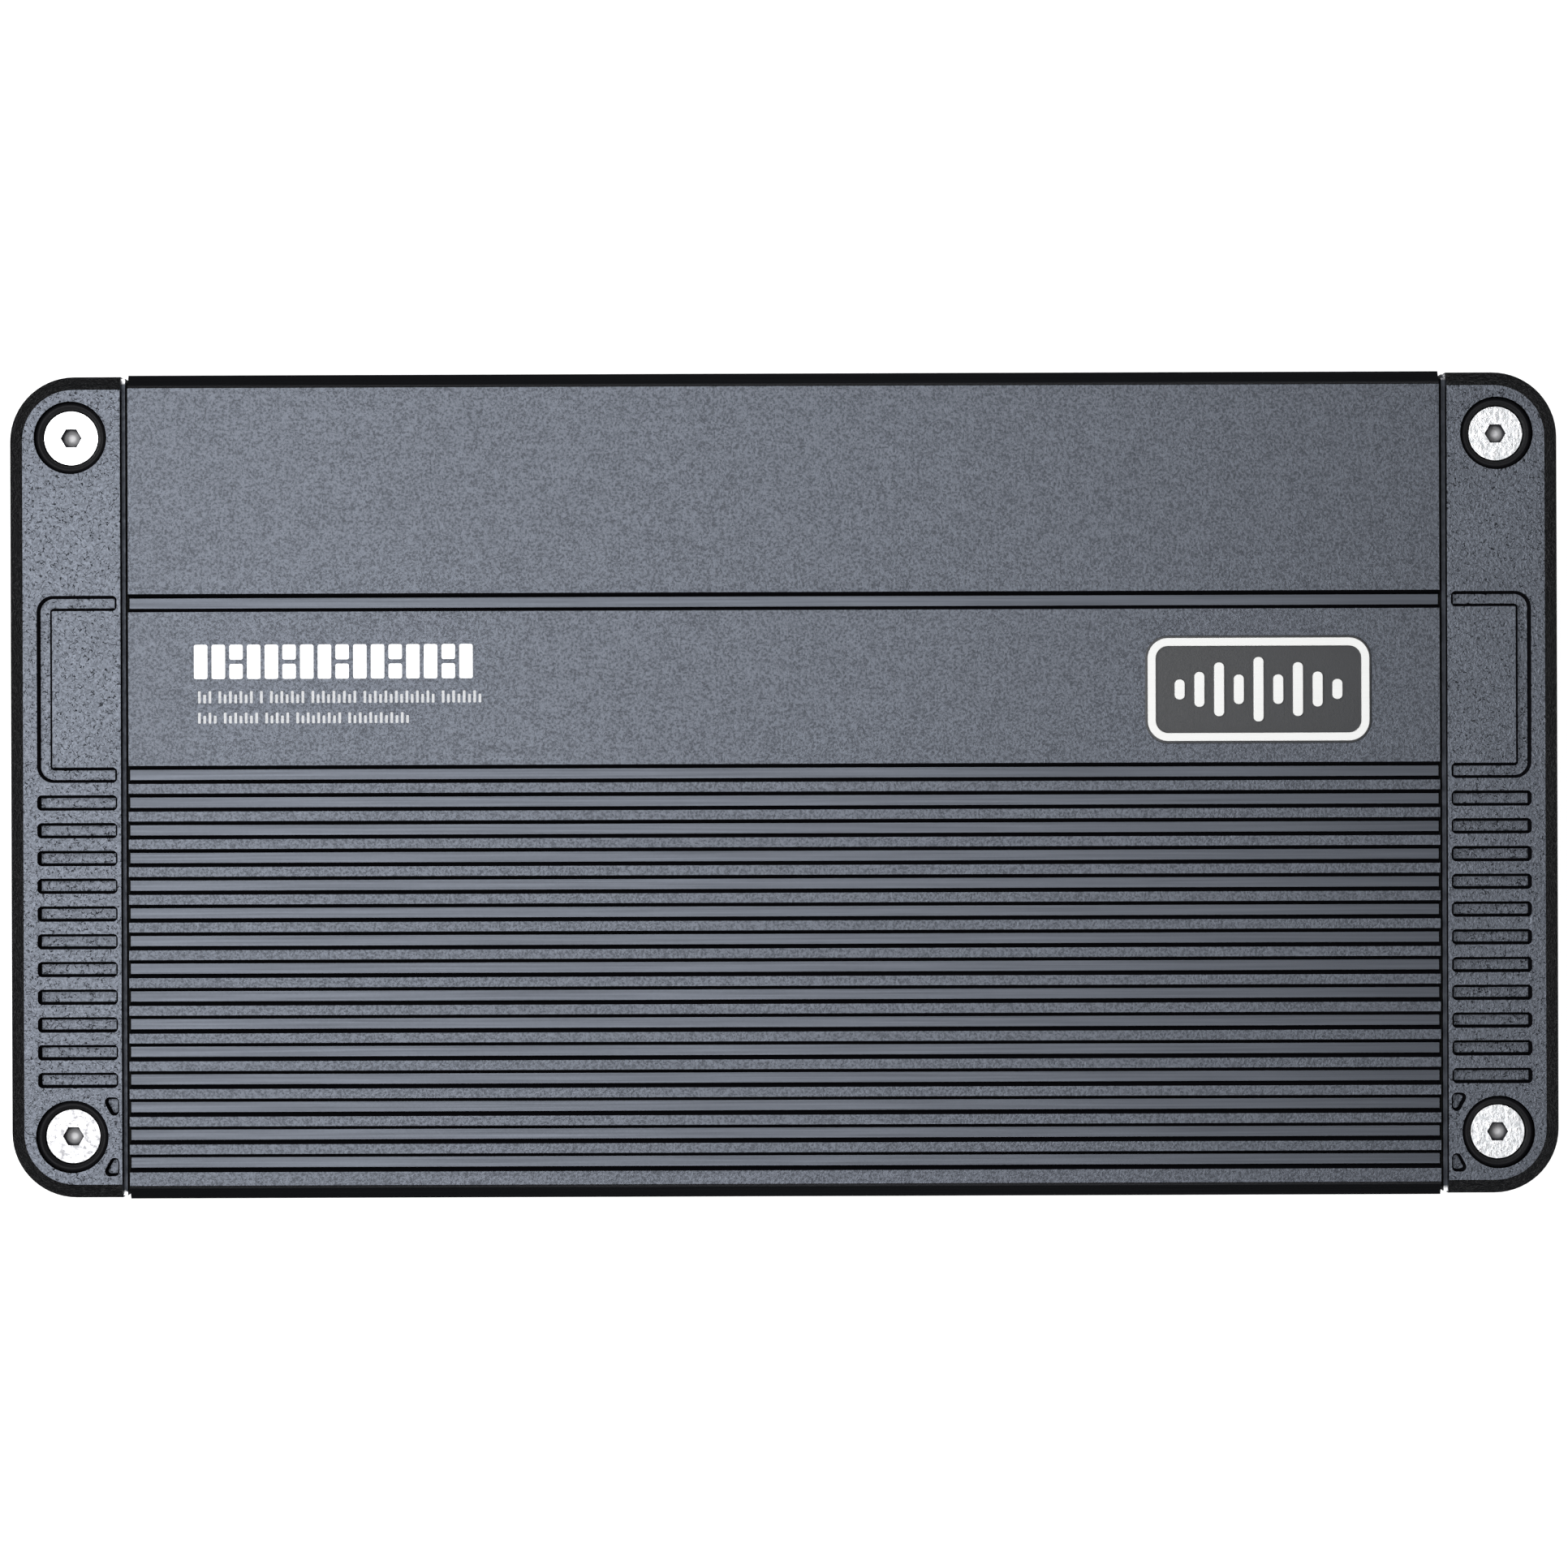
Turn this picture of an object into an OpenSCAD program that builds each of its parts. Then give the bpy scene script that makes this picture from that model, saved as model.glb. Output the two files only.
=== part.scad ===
// Car audio amplifier: a finned aluminium extrusion closed by a steel base plate, with two deep end
// caps that frame the connector panels, and the electronics on a board inside. Millimetres, +Z up,
// X along the extrusion. The origin is the middle of the underside. Threads are drawn plain.

/* [Body] */
// Overall length, from one end cap's face to the other's
body_l = 230; // [226:1:236]
// Width of the end caps
cap_w = 122; // [121:0.5:124]
// Overall height, from the mounting face to the fins
body_h = 48; // [48:0.5:50]
// Depth of each end cap along the length
cap_d = 16.5; // [16.3:0.1:17.5]
// Radius of the outer corners, seen from above
corner_r = 9.6; // [9:0.1:10.5]
// Width of the sloped shoulder along the top edges
shoulder_w = 2; // [1.2:0.1:2.2]
// Height of that shoulder
shoulder_h = 2.3; // [1.5:0.1:2.8]
// Thickness of the base plate
base_t = 1.5; // [1.2:0.1:1.6]

/* [Heatsink] */
// How far the extrusion stands proud of the end caps on each long side
heatsink_proud = 0.2; // [0:0.1:0.4]
// Thickness of the roof, from its top face to its ceiling
roof_t = 7; // [6.5:0.5:7.5]
// Thickness of the side walls
wall_t = 4.5; // [4.2:0.1:4.8]
// Distance between neighbouring fin grooves
groove_pitch = 4.12; // [4:0.02:4.16]
// Number of fin grooves
groove_n = 15; // [11:1:15]
// Width of a groove at its mouth
groove_mouth = 2.7; // [2:0.1:2.8]
// Width of a groove at its floor
groove_floor = 1.5; // [1:0.1:1.9]
// Depth of a groove
groove_depth = 3; // [2:0.1:3.4]
// Offset of the first fin groove from the middle line
first_groove_y = 1.8; // [1:0.1:2]
// Offset of the single accent groove from the middle line
accent_groove_y = 27.3; // [26:0.1:29]
// Number of grooves along each side wall
side_groove_n = 6; // [3:1:6]
// Depth of the side grooves
side_groove_depth = 1.3; // [0.8:0.1:1.5]

/* [End caps] */
// Width of the connector opening
opening_w = 90; // [89:0.5:90]
// Lowest edge of the connector opening
opening_z0 = 7; // [6.5:0.5:8]
// Highest edge of the connector opening
opening_z1 = 42; // [41:0.5:42]
// Number of short slots in each cap's top
slot_n = 11; // [8:1:11]
// Length of a short slot
slot_l = 11.9; // [11:0.1:12.2]
// Width of a short slot
slot_w = 2.3; // [2:0.1:2.5]
// Depth of the slots in the caps
slot_depth = 2.6; // [1.5:0.1:3]
// Distance of the corner screws from both outer faces
corner_inset = 9.1; // [9:0.1:9.4]

/* [Corner screws] */
// Diameter of the head
corner_head_d = 8; // [7.4:0.1:8.2]
// Hexagon socket, across flats
corner_hex_af = 2.7; // [2.5:0.1:3]
// Length under the head
corner_screw_l = 36; // [32:1:38]
// How far the head lies below the top face
corner_head_sunk = 2.1; // [1.6:0.1:2.6]
// Diameter of the mounting holes
mount_hole_d = 4.5; // [4.3:0.1:5]

/* [Badge] */
// Width of the badge
badge_w = 33.6; // [28:0.2:34]
// Height of the badge
badge_h = 16; // [12:0.2:16]
// Middle of the badge along the length
badge_x = 70.4; // [65:0.2:72]

/* [Controls and connectors] */
// Pitch of the rotary controls
knob_pitch = 11.5; // [11:0.1:11.5]
// Diameter of a rotary control
knob_d = 7; // [6:0.1:7.6]
// Wire hole of the battery and ground terminals
battery_wire_d = 9.2; // [8:0.1:9.6]
// Wire hole of the speaker terminals
speaker_wire_d = 6.4; // [5:0.1:6.6]
// Wire hole of the remote turn-on terminal
remote_wire_d = 4.4; // [3.6:0.1:4.8]
// Travel of a slide switch
switch_travel = 2.5; // [2:0.1:2.5]

/* [Hidden] */
$fn = 48;

eps = 0.5;                                   // overshoot of a cut past a face
fit = 0.05;                                  // clearance of a turning, threaded or sliding fit

panel_t = 0.6;
gasket_t = 0.55;
panel_x = body_l / 2 - cap_d;                // outer face of a connector panel
heatsink_l = 2 * (panel_x - panel_t - gasket_t);
heatsink_hw = cap_w / 2 + heatsink_proud;    // half widths, measured from the middle line
wall_in = heatsink_hw - wall_t;
ceiling_z = body_h - roof_t;
panel_top = body_h - groove_depth;
panel_hw = cap_w / 2 - 0.2;
gasket_hw = panel_hw - 0.6;
gasket_in = 53;
gasket_top = panel_top - 1.8;

// Screws: M3 for the caps and the base plate, smaller ones inside.
m3_r = 1.45;
m3_head_r = 2.75;
m3_clear_r = 1.7;
m3_af = 2.5;
small_screw_r = 1.2;
tapped_depth = 3;
wall_tap_depth = 2.3;

// Screw channels of the extrusion, which the end cap screws enter.
port_y = 57;
port_z = [6.5, 38];
port_boss_r = 3.1;
cap_screw_seat = 9.8;                        // where the end cap screws' heads bear
cap_screw_l = 20;
cap_head_h = 2;

ledge_in = 51.3;                             // the board rests on a ledge along each wall
board_z0 = 9.5;
board_t = 1.6;
board_z = board_z0 + board_t;
board_hw = wall_in - 0.3;
board_l = heatsink_l - 5;
board_screw_x = 78;
board_screw_y = 53.6;

side_groove_z0 = 11.5;
side_draft = 0.3;
side_slot_l = 11;
side_slot_u = side_slot_l / 2 + 0.8;
side_slot_r = 0.7;
bead_l = 150;                                // pressed stiffening beads of the base plate
bead_w = 7;
bead_depth = 0.6;
bead_pitch = 30;
base_screw_x = 80;
base_screw_l = 4.1;
csk_r = 3.1;
csk_h = 1.4;

opening_r = 4;
lip_w = 1.5;
slot_draft = 0.45;                           // how far a recess's walls slope in
slot_corner_r = 0.8;
slot_u = cap_d - 4.05 - slot_l / 2;          // middle of the slots, outwards from the panel
bracket_depth = 1.9;
bracket_turn_r = 1.3;
pocket_corners = [[1.15, 5.15], [1.15, 3.85], [1.85, 5.15]];
pocket_rounding = [0.35, 0.8];                // a small pocket's corner radius at its floor and mouth

corner_x = body_l / 2 - corner_inset;
corner_y = cap_w / 2 - corner_inset;
corner_head_r = corner_head_d / 2;
corner_head_h = 2.6;
bushing_r = 5.3;
pocket_r = bushing_r + 0.1;                  // counterbore for the bushing
bushing_floor = 0.8;
bushing_sunk = 0.9;
corner_shank_r = 2;
corner_bore_r = 2.5;                         // clearance bore under the counterbore
insert_r = 2.9;
insert_z1 = 13.5;
head_seat_z = body_h - corner_head_sunk - corner_head_h;
pocket_floor_z = head_seat_z - bushing_floor;

badge_y = (accent_groove_y + first_groove_y) / 2 - 0.6;
badge_r = 3.4;
badge_base_t = 0.4;
badge_face_t = 0.7;
badge_bar_w = 1.5;
badge_bars = [3, 5.2, 8, 4.4, 9.6, 4.4, 8, 5.2, 3];

// Positions on the signal end: u runs outwards from the panel's outer face.
control_board_u = -11.9;
module_l = -panel_t - 0.1 - control_board_u; // room for the modules between board and panel
header_w = 2.6;
rca_y = [-33, -17];
rca_z = [17.5, 32.5];
rca_sleeve_r = 4.15;
rca_tail_r = 4;
rca_tail_l = 6;
rca_flange_r = 5.4;
rca_bore_r = 3.6;
rca_pin_r = 1.6;
rca_len = 9.5;
knob_y0 = -3;
knob_z = 31;
shaft_r = 1.5;
knob_len = 7.6;
switch_y = [-2, 14];
switch_z = 17;
slider_w = 2.4;
slider_h = 2.2;
slider_u = 2.5;
foot_w = slider_w + 2;
port_socket = [13, 12.4];                    // outer width and height of the remote port
port_mid = [31, 18.4];
port_mouth = [9.8, 6.8];
port_lift = 0.8;
led_y = 40.6;
led_z = [34, 27];
led_r = 1.5;

// Positions on the power end.
block_z1 = 37.5;
block_back = -14;
block_front = 9;
clamp_z0 = board_z + 1;
clamp_back = -10;
clamp_front = 7;
collar_front = 8.4;
collar_t = 0.8;
wire_z = 19;
wire_back = -5;
screw_tilt = 30;                             // the clamping screws lean back for a straight key
screw_tip_u = 2.5;
screw_l = 6.6;
// One pole is [middle, clamp width, clamp top, wire radius, screw radius].
ground_pole = [14.2, 12, 35.5, battery_wire_d / 2, 2.5];
remote_pole = [25.5, 7.4, 30.5, remote_wire_d / 2, 1.25];
battery_pole = [36.8, 12, 35.5, battery_wire_d / 2, 2.5];
minus_pole = [-38, 9.4, 33, speaker_wire_d / 2, 2];
plus_pole = [-26, 9.4, 33, speaker_wire_d / 2, 2];
power_poles = [ground_pole, remote_pole, battery_pole];
speaker_poles = [minus_pole, plus_pole];
power_block_y = [7, 44];
speaker_block_y = [-44, -20];
fuse_block_y = [-17.5, 4.5];
fuse_mid_y = -6.5;
fuse_z = [19.5, 29.5];
fuse_size = [12.2, 19, 5.1];
fuse_seat_u = -0.8;
fuse_front_u = 6;
chamber_u = -10;
blade_w = 5.1;
blade_t = 0.7;
blade_len = 7.2;
blade_held = 4;
blade_y = 6.2;
clip_leaf = 0.5;

// Rows of transistors along both side walls: package is [width, thickness, height].
transistor_n = 6;
transistor_x0 = -36;
transistor_pitch = 20;
package = [10, 4.5, 9.2];
package_z = 15;
pad_t = 0.3;
tab_t = 1.3;
bar_t = 2;
row_x0 = transistor_x0 - package[0] / 2;
row_l = (transistor_n - 1) * transistor_pitch + package[0];
clamp_seat = pad_t + package[1] + bar_t;
clamp_screw_z = package_z + 4.4;
clamp_screw_x = [for (i = [0 : 2 : transistor_n - 1]) transistor_x0 + (i + 0.5) * transistor_pitch];

// A toroid is [inner radius, outer radius, height, wire, turns].
transformer = [12, 22, 17, 2.2, 20];
inductor = [7, 14, 11, 1.8, 16];
can_pitch = 18;

// ---------- shared shapes ----------

// A rectangle with round corners, centred.
module rounded_rect(w, h, r) {
  square([w - 2 * r, h], center = true);
  square([w, h - 2 * r], center = true);
  for (x = [-1, 1], y = [-1, 1])
    translate([x * (w / 2 - r), y * (h / 2 - r)]) circle(r = r);
}

// A tapered slot's cross-section, its mouth centred on the origin and its floor below it.
module groove_profile(mouth, floor_w, depth) {
  slope = (mouth - floor_w) / 2 / depth;
  polygon([
    [-mouth / 2 - eps * slope, eps], [mouth / 2 + eps * slope, eps],
    [floor_w / 2, -depth], [-floor_w / 2, -depth]
  ]);
}

// Stands a drawing of Y and Z up and sweeps it along X.
module along_x(x0, x1) {
  translate([x0, 0, 0]) rotate([90, 0, 90]) linear_extrude(height = x1 - x0) children();
}

// A round bar along X.
module bar_x(r, x0, x1) {
  translate([x0, 0, 0]) rotate([0, 90, 0]) cylinder(r = r, h = x1 - x0);
}

// A socket head screw that points down from the origin, its head above it.
module socket_screw(head_r, head_h, shank_r, length, af) {
  socket_z = head_h * 0.25;
  difference() {
    union() {
      translate([0, 0, -length]) cylinder(r = shank_r, h = length);
      cylinder(r = head_r, h = head_h);
    }
    translate([0, 0, socket_z]) cylinder(r = af / sqrt(3), h = head_h, $fn = 6);
    translate([0, 0, socket_z - 0.2 * af]) cylinder(r1 = 0, r2 = 0.46 * af, h = 0.2 * af + fit);
  }
}

// Children drawn in a connector end's own frame: +X is outwards from the panel's outer face.
module signal_end() { mirror([1, 0, 0]) translate([panel_x, 0, 0]) children(); }
module power_end() { translate([panel_x, 0, 0]) children(); }

// ---------- housing ----------

module heatsink_outline() {
  polygon([
    [-heatsink_hw, base_t], [heatsink_hw, base_t],
    [heatsink_hw, body_h - shoulder_h], [heatsink_hw - shoulder_w, body_h],
    [-heatsink_hw + shoulder_w, body_h], [-heatsink_hw, body_h - shoulder_h]
  ]);
}

module heatsink_cavity() {
  translate([-ledge_in, 0]) square([2 * ledge_in, ceiling_z]);
  translate([-wall_in, board_z0]) square([2 * wall_in, ceiling_z - board_z0]);
}

// The extrusion's cross-section, with bosses for the upper screw channels and a groove per fin gap.
module heatsink_profile() {
  boss_in = port_y - port_boss_r;
  difference() {
    union() {
      difference() {
        heatsink_outline();
        heatsink_cavity();
      }
      for (m = [0, 1]) mirror([m, 0]) {
        translate([port_y, port_z[1]]) circle(r = port_boss_r);
        translate([boss_in, port_z[1]]) square([wall_in + 1 - boss_in, ceiling_z + 1 - port_z[1]]);
      }
    }
    for (i = [0 : groove_n - 1])
      translate([first_groove_y - i * groove_pitch, body_h])
        groove_profile(groove_mouth, groove_floor, groove_depth);
    translate([accent_groove_y, body_h])
      groove_profile(groove_mouth, groove_floor, groove_depth);
    for (s = [-1, 1], i = [0 : side_groove_n - 1])
      translate([s * heatsink_hw, side_groove_z0 + i * groove_pitch]) rotate(-90 * s)
        groove_profile(slot_w, slot_w - 2 * side_draft, side_groove_depth);
    for (s = [-1, 1], z = port_z) translate([s * port_y, z]) circle(r = m3_r + fit);
  }
}

module heatsink() {
  color([0.10, 0.10, 0.11]) difference() {
    along_x(-heatsink_l / 2, heatsink_l / 2) heatsink_profile();
    for (s = [-1, 1]) {
      for (i = [-1 : 1]) translate([i * base_screw_x, s * port_y, base_t - eps])
        cylinder(r = m3_r + fit, h = tapped_depth + eps);
      for (i = [-1, 1]) translate([i * board_screw_x, s * board_screw_y, board_z0 - tapped_depth])
        cylinder(r = small_screw_r + fit, h = tapped_depth + eps);
      for (x = clamp_screw_x) translate([x, s * (wall_in - eps), clamp_screw_z])
        rotate([-90 * s, 0, 0]) cylinder(r = small_screw_r + fit, h = wall_tap_depth + eps);
    }
  }
}

// Mounting holes at the corners, countersunk holes along the sides, and pressed beads below.
module base_plate() {
  inset = 0.4;
  color([0.08, 0.08, 0.08]) difference() {
    linear_extrude(height = base_t)
      rounded_rect(body_l - 2 * inset, cap_w - 2 * inset, corner_r - inset);
    for (x = [-1, 1], y = [-1, 1]) translate([x * corner_x, y * corner_y, -eps])
      cylinder(d = mount_hole_d, h = base_t + 2 * eps);
    for (i = [-1 : 1], s = [-1, 1]) translate([i * base_screw_x, s * port_y, 0]) {
      translate([0, 0, -eps]) cylinder(r = m3_clear_r, h = base_t + 2 * eps);
      cylinder(r1 = csk_r, r2 = m3_clear_r, h = csk_h);
    }
    for (i = [-1 : 1]) translate([0, i * bead_pitch, -eps])
      linear_extrude(height = bead_depth + eps) rounded_rect(bead_l, bead_w, bead_w / 2 - 0.1);
  }
}

module base_plate_screws() {
  head_h = csk_h - fit;
  hex_r = 2 / sqrt(3);
  color([0.15, 0.15, 0.15]) for (i = [-1 : 1], s = [-1, 1])
    translate([i * base_screw_x, s * port_y, fit]) difference() {
      union() {
        cylinder(r1 = csk_r - 3 * fit, r2 = m3_r, h = head_h);
        cylinder(r = m3_r, h = base_screw_l);
      }
      translate([0, 0, -eps]) cylinder(r = hex_r, h = 1 + eps, $fn = 6);
    }
}

// The cap's outer form, with the sloped shoulder along its three outer edges.
module cap_blank() {
  upright_h = body_h - base_t - shoulder_h;
  along_x(0, cap_d - corner_r) polygon([
    [-cap_w / 2, base_t], [cap_w / 2, base_t],
    [cap_w / 2, body_h - shoulder_h], [cap_w / 2 - shoulder_w, body_h],
    [-cap_w / 2 + shoulder_w, body_h], [-cap_w / 2, body_h - shoulder_h]
  ]);
  translate([0, cap_w / 2 - corner_r, 0]) rotate([90, 0, 0])
    linear_extrude(height = cap_w - 2 * corner_r) polygon([
      [0, base_t], [cap_d, base_t], [cap_d, body_h - shoulder_h],
      [cap_d - shoulder_w, body_h], [0, body_h]
    ]);
  for (s = [-1, 1]) translate([cap_d - corner_r, s * (cap_w / 2 - corner_r), base_t]) {
    cylinder(r = corner_r, h = upright_h);
    translate([0, 0, upright_h])
      cylinder(r1 = corner_r, r2 = corner_r - shoulder_w, h = shoulder_h);
  }
}

module cap_groove_profile(depth) { groove_profile(slot_w, slot_w - 2 * slot_draft, depth); }

// A short recess along X in the cap's top, with walls that slope in to its floor.
module tapered_slot(l, depth) {
  intersection() {
    along_x(-l / 2 - eps, l / 2 + eps) cap_groove_profile(depth);
    rotate([0, 0, 90]) along_x(-slot_w, slot_w)
      groove_profile(l, l - 2 * slot_draft, depth);
    translate([0, 0, -depth - eps]) linear_extrude(height = depth + 2 * eps)
      rounded_rect(l + fit, slot_w + fit, slot_corner_r);
  }
}

// The square bracket: two arms and a spine, joined by quarter turns.
module cap_bracket() {
  spine_u = slot_u + (slot_l - slot_w) / 2;
  arm_u0 = slot_u - slot_l / 2;
  arm_u1 = spine_u - bracket_turn_r + eps;
  span = accent_groove_y - first_groove_y;
  mid = (accent_groove_y + first_groove_y) / 2;
  for (s = [-1, 1]) {
    translate([(arm_u0 + arm_u1) / 2, mid + s * span / 2, 0])
      tapered_slot(arm_u1 - arm_u0, bracket_depth);
    translate([spine_u - bracket_turn_r, mid + s * (span / 2 - bracket_turn_r), 0])
      rotate([0, 0, s > 0 ? 0 : -90]) rotate_extrude(angle = 90)
        translate([bracket_turn_r, 0]) cap_groove_profile(bracket_depth);
  }
  translate([spine_u, mid, 0]) rotate([0, 0, 90])
    tapered_slot(span - 2 * bracket_turn_r + 2 * eps, bracket_depth);
}

// Recesses in the cap's top: the bracket, the row of short slots and two small pockets.
module cap_top_recesses() {
  cap_bracket();
  for (i = [1 : slot_n]) translate([slot_u, first_groove_y - i * groove_pitch, 0])
    tapered_slot(slot_l, slot_depth);
  for (s = [-1, 1]) hull() for (p = pocket_corners)
    translate([p[0], -corner_y + s * p[1], -slot_depth])
      cylinder(r1 = pocket_rounding[0], r2 = pocket_rounding[1], h = slot_depth + eps, $fn = 24);
}

module end_cap() {
  opening_h = opening_z1 - opening_z0;
  opening_mid = (opening_z1 + opening_z0) / 2;
  color([0.12, 0.12, 0.13]) difference() {
    cap_blank();
    translate([-corner_r, -cap_w, 0]) cube([corner_r, 2 * cap_w, body_h + eps]);
    along_x(-eps, cap_d + eps) translate([0, opening_mid])
      rounded_rect(opening_w, opening_h, opening_r);
    along_x(cap_d - lip_w, cap_d + eps) translate([0, opening_mid])
      rounded_rect(opening_w + 2 * lip_w, opening_h + 2 * lip_w, opening_r + lip_w);
    translate([0, 0, body_h]) cap_top_recesses();
    for (s = [-1, 1]) {
      translate([cap_d - corner_inset, s * corner_y, 0]) {
        cylinder(r = corner_bore_r, h = body_h);
        cylinder(r = insert_r + fit, h = insert_z1);
        translate([0, 0, pocket_floor_z]) cylinder(r = pocket_r, h = body_h);
      }
      for (z = port_z) translate([0, s * port_y, z]) {
        bar_x(m3_clear_r, -eps, cap_d);
        bar_x(m3_head_r + 0.3, cap_screw_seat, cap_d + eps);
      }
      for (i = [0 : side_groove_n - 1])
        translate([side_slot_u, s * cap_w / 2, side_groove_z0 + i * groove_pitch])
          rotate([90 * s, 0, 0]) translate([0, 0, -eps])
            linear_extrude(height = side_groove_depth + eps)
              rounded_rect(side_slot_l, slot_w - side_draft, side_slot_r);
    }
  }
}

module corner_screws() {
  color([0.8, 0.8, 0.82]) for (x = [-1, 1], y = [-1, 1])
    translate([x * corner_x, y * corner_y, head_seat_z])
      socket_screw(corner_head_r, corner_head_h, corner_shank_r, corner_screw_l, corner_hex_af);
}

// Nylon sleeves that line the counterbores under the corner screws' heads.
module corner_bushings() {
  height = body_h - bushing_sunk - pocket_floor_z;
  pocket = corner_head_r + 0.2;
  rim = 0.4;
  color([0.04, 0.04, 0.04]) for (x = [-1, 1], y = [-1, 1])
    translate([x * corner_x, y * corner_y, pocket_floor_z]) rotate_extrude() polygon([
      [corner_shank_r + fit, 0], [bushing_r, 0], [bushing_r, height - rim],
      [bushing_r - rim, height], [pocket + rim, height], [pocket, height - 2 * rim],
      [pocket, bushing_floor], [corner_shank_r + fit, bushing_floor]
    ]);
}

// Threaded inserts under the corner screws: their lower half takes a mounting screw from below.
module corner_inserts() {
  color([0.8, 0.65, 0.3]) for (x = [-1, 1], y = [-1, 1])
    translate([x * corner_x, y * corner_y, base_t]) difference() {
      cylinder(r = insert_r, h = insert_z1 - base_t);
      translate([0, 0, -eps]) cylinder(r = corner_shank_r + fit, h = insert_z1);
    }
}

module end_cap_screws_one_end() {
  for (s = [-1, 1], z = port_z) translate([cap_screw_seat, s * port_y, z]) rotate([0, 90, 0])
    socket_screw(m3_head_r, cap_head_h, m3_r, cap_screw_l, m3_af);
}

module end_cap_screws() {
  color([0.1, 0.1, 0.1]) {
    signal_end() end_cap_screws_one_end();
    power_end() end_cap_screws_one_end();
  }
}

// ---------- panels ----------

module panel_blank() {
  difference() {
    along_x(-panel_t, 0) translate([-panel_hw, base_t]) square([2 * panel_hw, panel_top - base_t]);
    for (s = [-1, 1], z = port_z) translate([0, s * port_y, z]) panel_hole(m3_clear_r);
  }
}

module panel_hole(r) { bar_x(r, -2 * panel_t, panel_t); }

// A rectangular hole through the panel, centred on the X axis.
module panel_window(w, h) {
  translate([-2 * panel_t, -w / 2, -h / 2]) cube([3 * panel_t, w, h]);
}

module signal_panel() {
  gap = 0.15;
  color([0.35, 0.35, 0.36]) signal_end() difference() {
    panel_blank();
    for (y = rca_y, z = rca_z) translate([0, y, z]) panel_hole(rca_sleeve_r + 2 * gap);
    for (i = [0 : 3]) translate([0, knob_y0 + i * knob_pitch, knob_z])
      panel_hole(shaft_r + 2 * gap);
    for (y = switch_y) translate([0, y, switch_z])
      panel_window(slider_w + switch_travel + 4 * gap, slider_h + 4 * gap);
    translate([0, port_mid[0], port_mid[1]])
      panel_window(port_socket[0] + 2 * gap, port_socket[1] + 2 * gap);
    for (z = led_z) translate([0, led_y, z]) panel_hole(led_r + gap);
  }
}

module power_panel() {
  gap = 0.2;
  color([0.35, 0.35, 0.36]) power_end() difference() {
    panel_blank();
    for (b = [power_block_y, speaker_block_y, fuse_block_y])
      translate([0, (b[0] + b[1]) / 2, (board_z + block_z1) / 2])
        panel_window(b[1] - b[0] + 2 * gap, block_z1 - board_z + 2 * gap);
  }
}

// A foam frame between a panel and the extrusion, set back from both outlines.
module gasket() {
  bottom = base_t + 0.5;
  along_x(-panel_t - gasket_t, -panel_t) difference() {
    translate([-gasket_hw, bottom]) square([2 * gasket_hw, gasket_top - bottom]);
    translate([-gasket_in, bottom + 3]) square([2 * gasket_in, ceiling_z - bottom - 4]);
    for (s = [-1, 1], z = port_z) translate([s * port_y, z]) circle(r = m3_clear_r);
  }
}

module panel_gaskets() {
  color([0.03, 0.03, 0.03]) {
    signal_end() gasket();
    power_end() gasket();
  }
}

// ---------- badge ----------

module badge_base() {
  color([0.03, 0.03, 0.03]) translate([badge_x, badge_y, body_h])
    linear_extrude(height = badge_base_t) rounded_rect(badge_w, badge_h, badge_r);
}

// A plain frame around a row of bars that rise and fall.
module badge_face() {
  rim = 0.35;
  frame_w = 1.2;
  hole = rim + frame_w;
  bar_pitch = 1.95 * badge_bar_w;
  middle_bar = (len(badge_bars) - 1) / 2;
  color([0.85, 0.85, 0.85]) translate([badge_x, badge_y, body_h + badge_base_t])
    linear_extrude(height = badge_face_t) {
      difference() {
        rounded_rect(badge_w - 2 * rim, badge_h - 2 * rim, badge_r - rim);
        rounded_rect(badge_w - 2 * hole, badge_h - 2 * hole, badge_r - hole);
      }
      for (i = [0 : len(badge_bars) - 1])
        translate([(i - middle_bar) * bar_pitch, 0])
          rounded_rect(badge_bar_w, badge_bars[i], badge_bar_w / 2 - fit);
    }
}

// ---------- electronics ----------

module main_board() {
  hole_r = small_screw_r + 0.3;
  color([0.05, 0.25, 0.12]) translate([0, 0, board_z0]) difference() {
    linear_extrude(height = board_t) square([board_l, 2 * board_hw], center = true);
    for (x = [-1, 1], y = [-1, 1]) translate([x * board_screw_x, y * board_screw_y, -eps])
      cylinder(r = hole_r, h = board_t + 2 * eps);
  }
}

module board_screws() {
  head_r = 2.2;
  head_h = 1.6;
  hex_af = 2;
  length = board_t + tapped_depth - 0.4;
  color([0.7, 0.7, 0.7]) for (x = [-1, 1], y = [-1, 1])
    translate([x * board_screw_x, y * board_screw_y, board_z])
      socket_screw(head_r, head_h, small_screw_r, length, hex_af);
}

module control_board() {
  width = 87;
  height = 26;
  color([0.05, 0.25, 0.12]) signal_end()
    translate([control_board_u - board_t, -width / 2 + 0.5, board_z + 2])
      cube([board_t, width, height]);
}

// A right-angle pin header that joins the two boards.
module board_link_header() {
  pins = 14;
  pitch = 2.54;
  pin = 0.6;
  pin_l = 5;
  middle_y = 6;
  color([0.06, 0.06, 0.06]) signal_end()
    translate([control_board_u - board_t - header_w, middle_y, board_z]) {
      translate([0, -pins * pitch / 2, 0]) cube([header_w, pins * pitch, header_w]);
      for (i = [0 : pins - 1])
        translate([(header_w - pin) / 2, (i - (pins - 1) / 2) * pitch - pin / 2, header_w])
          cube([pin, pin, pin_l]);
    }
}

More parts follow.
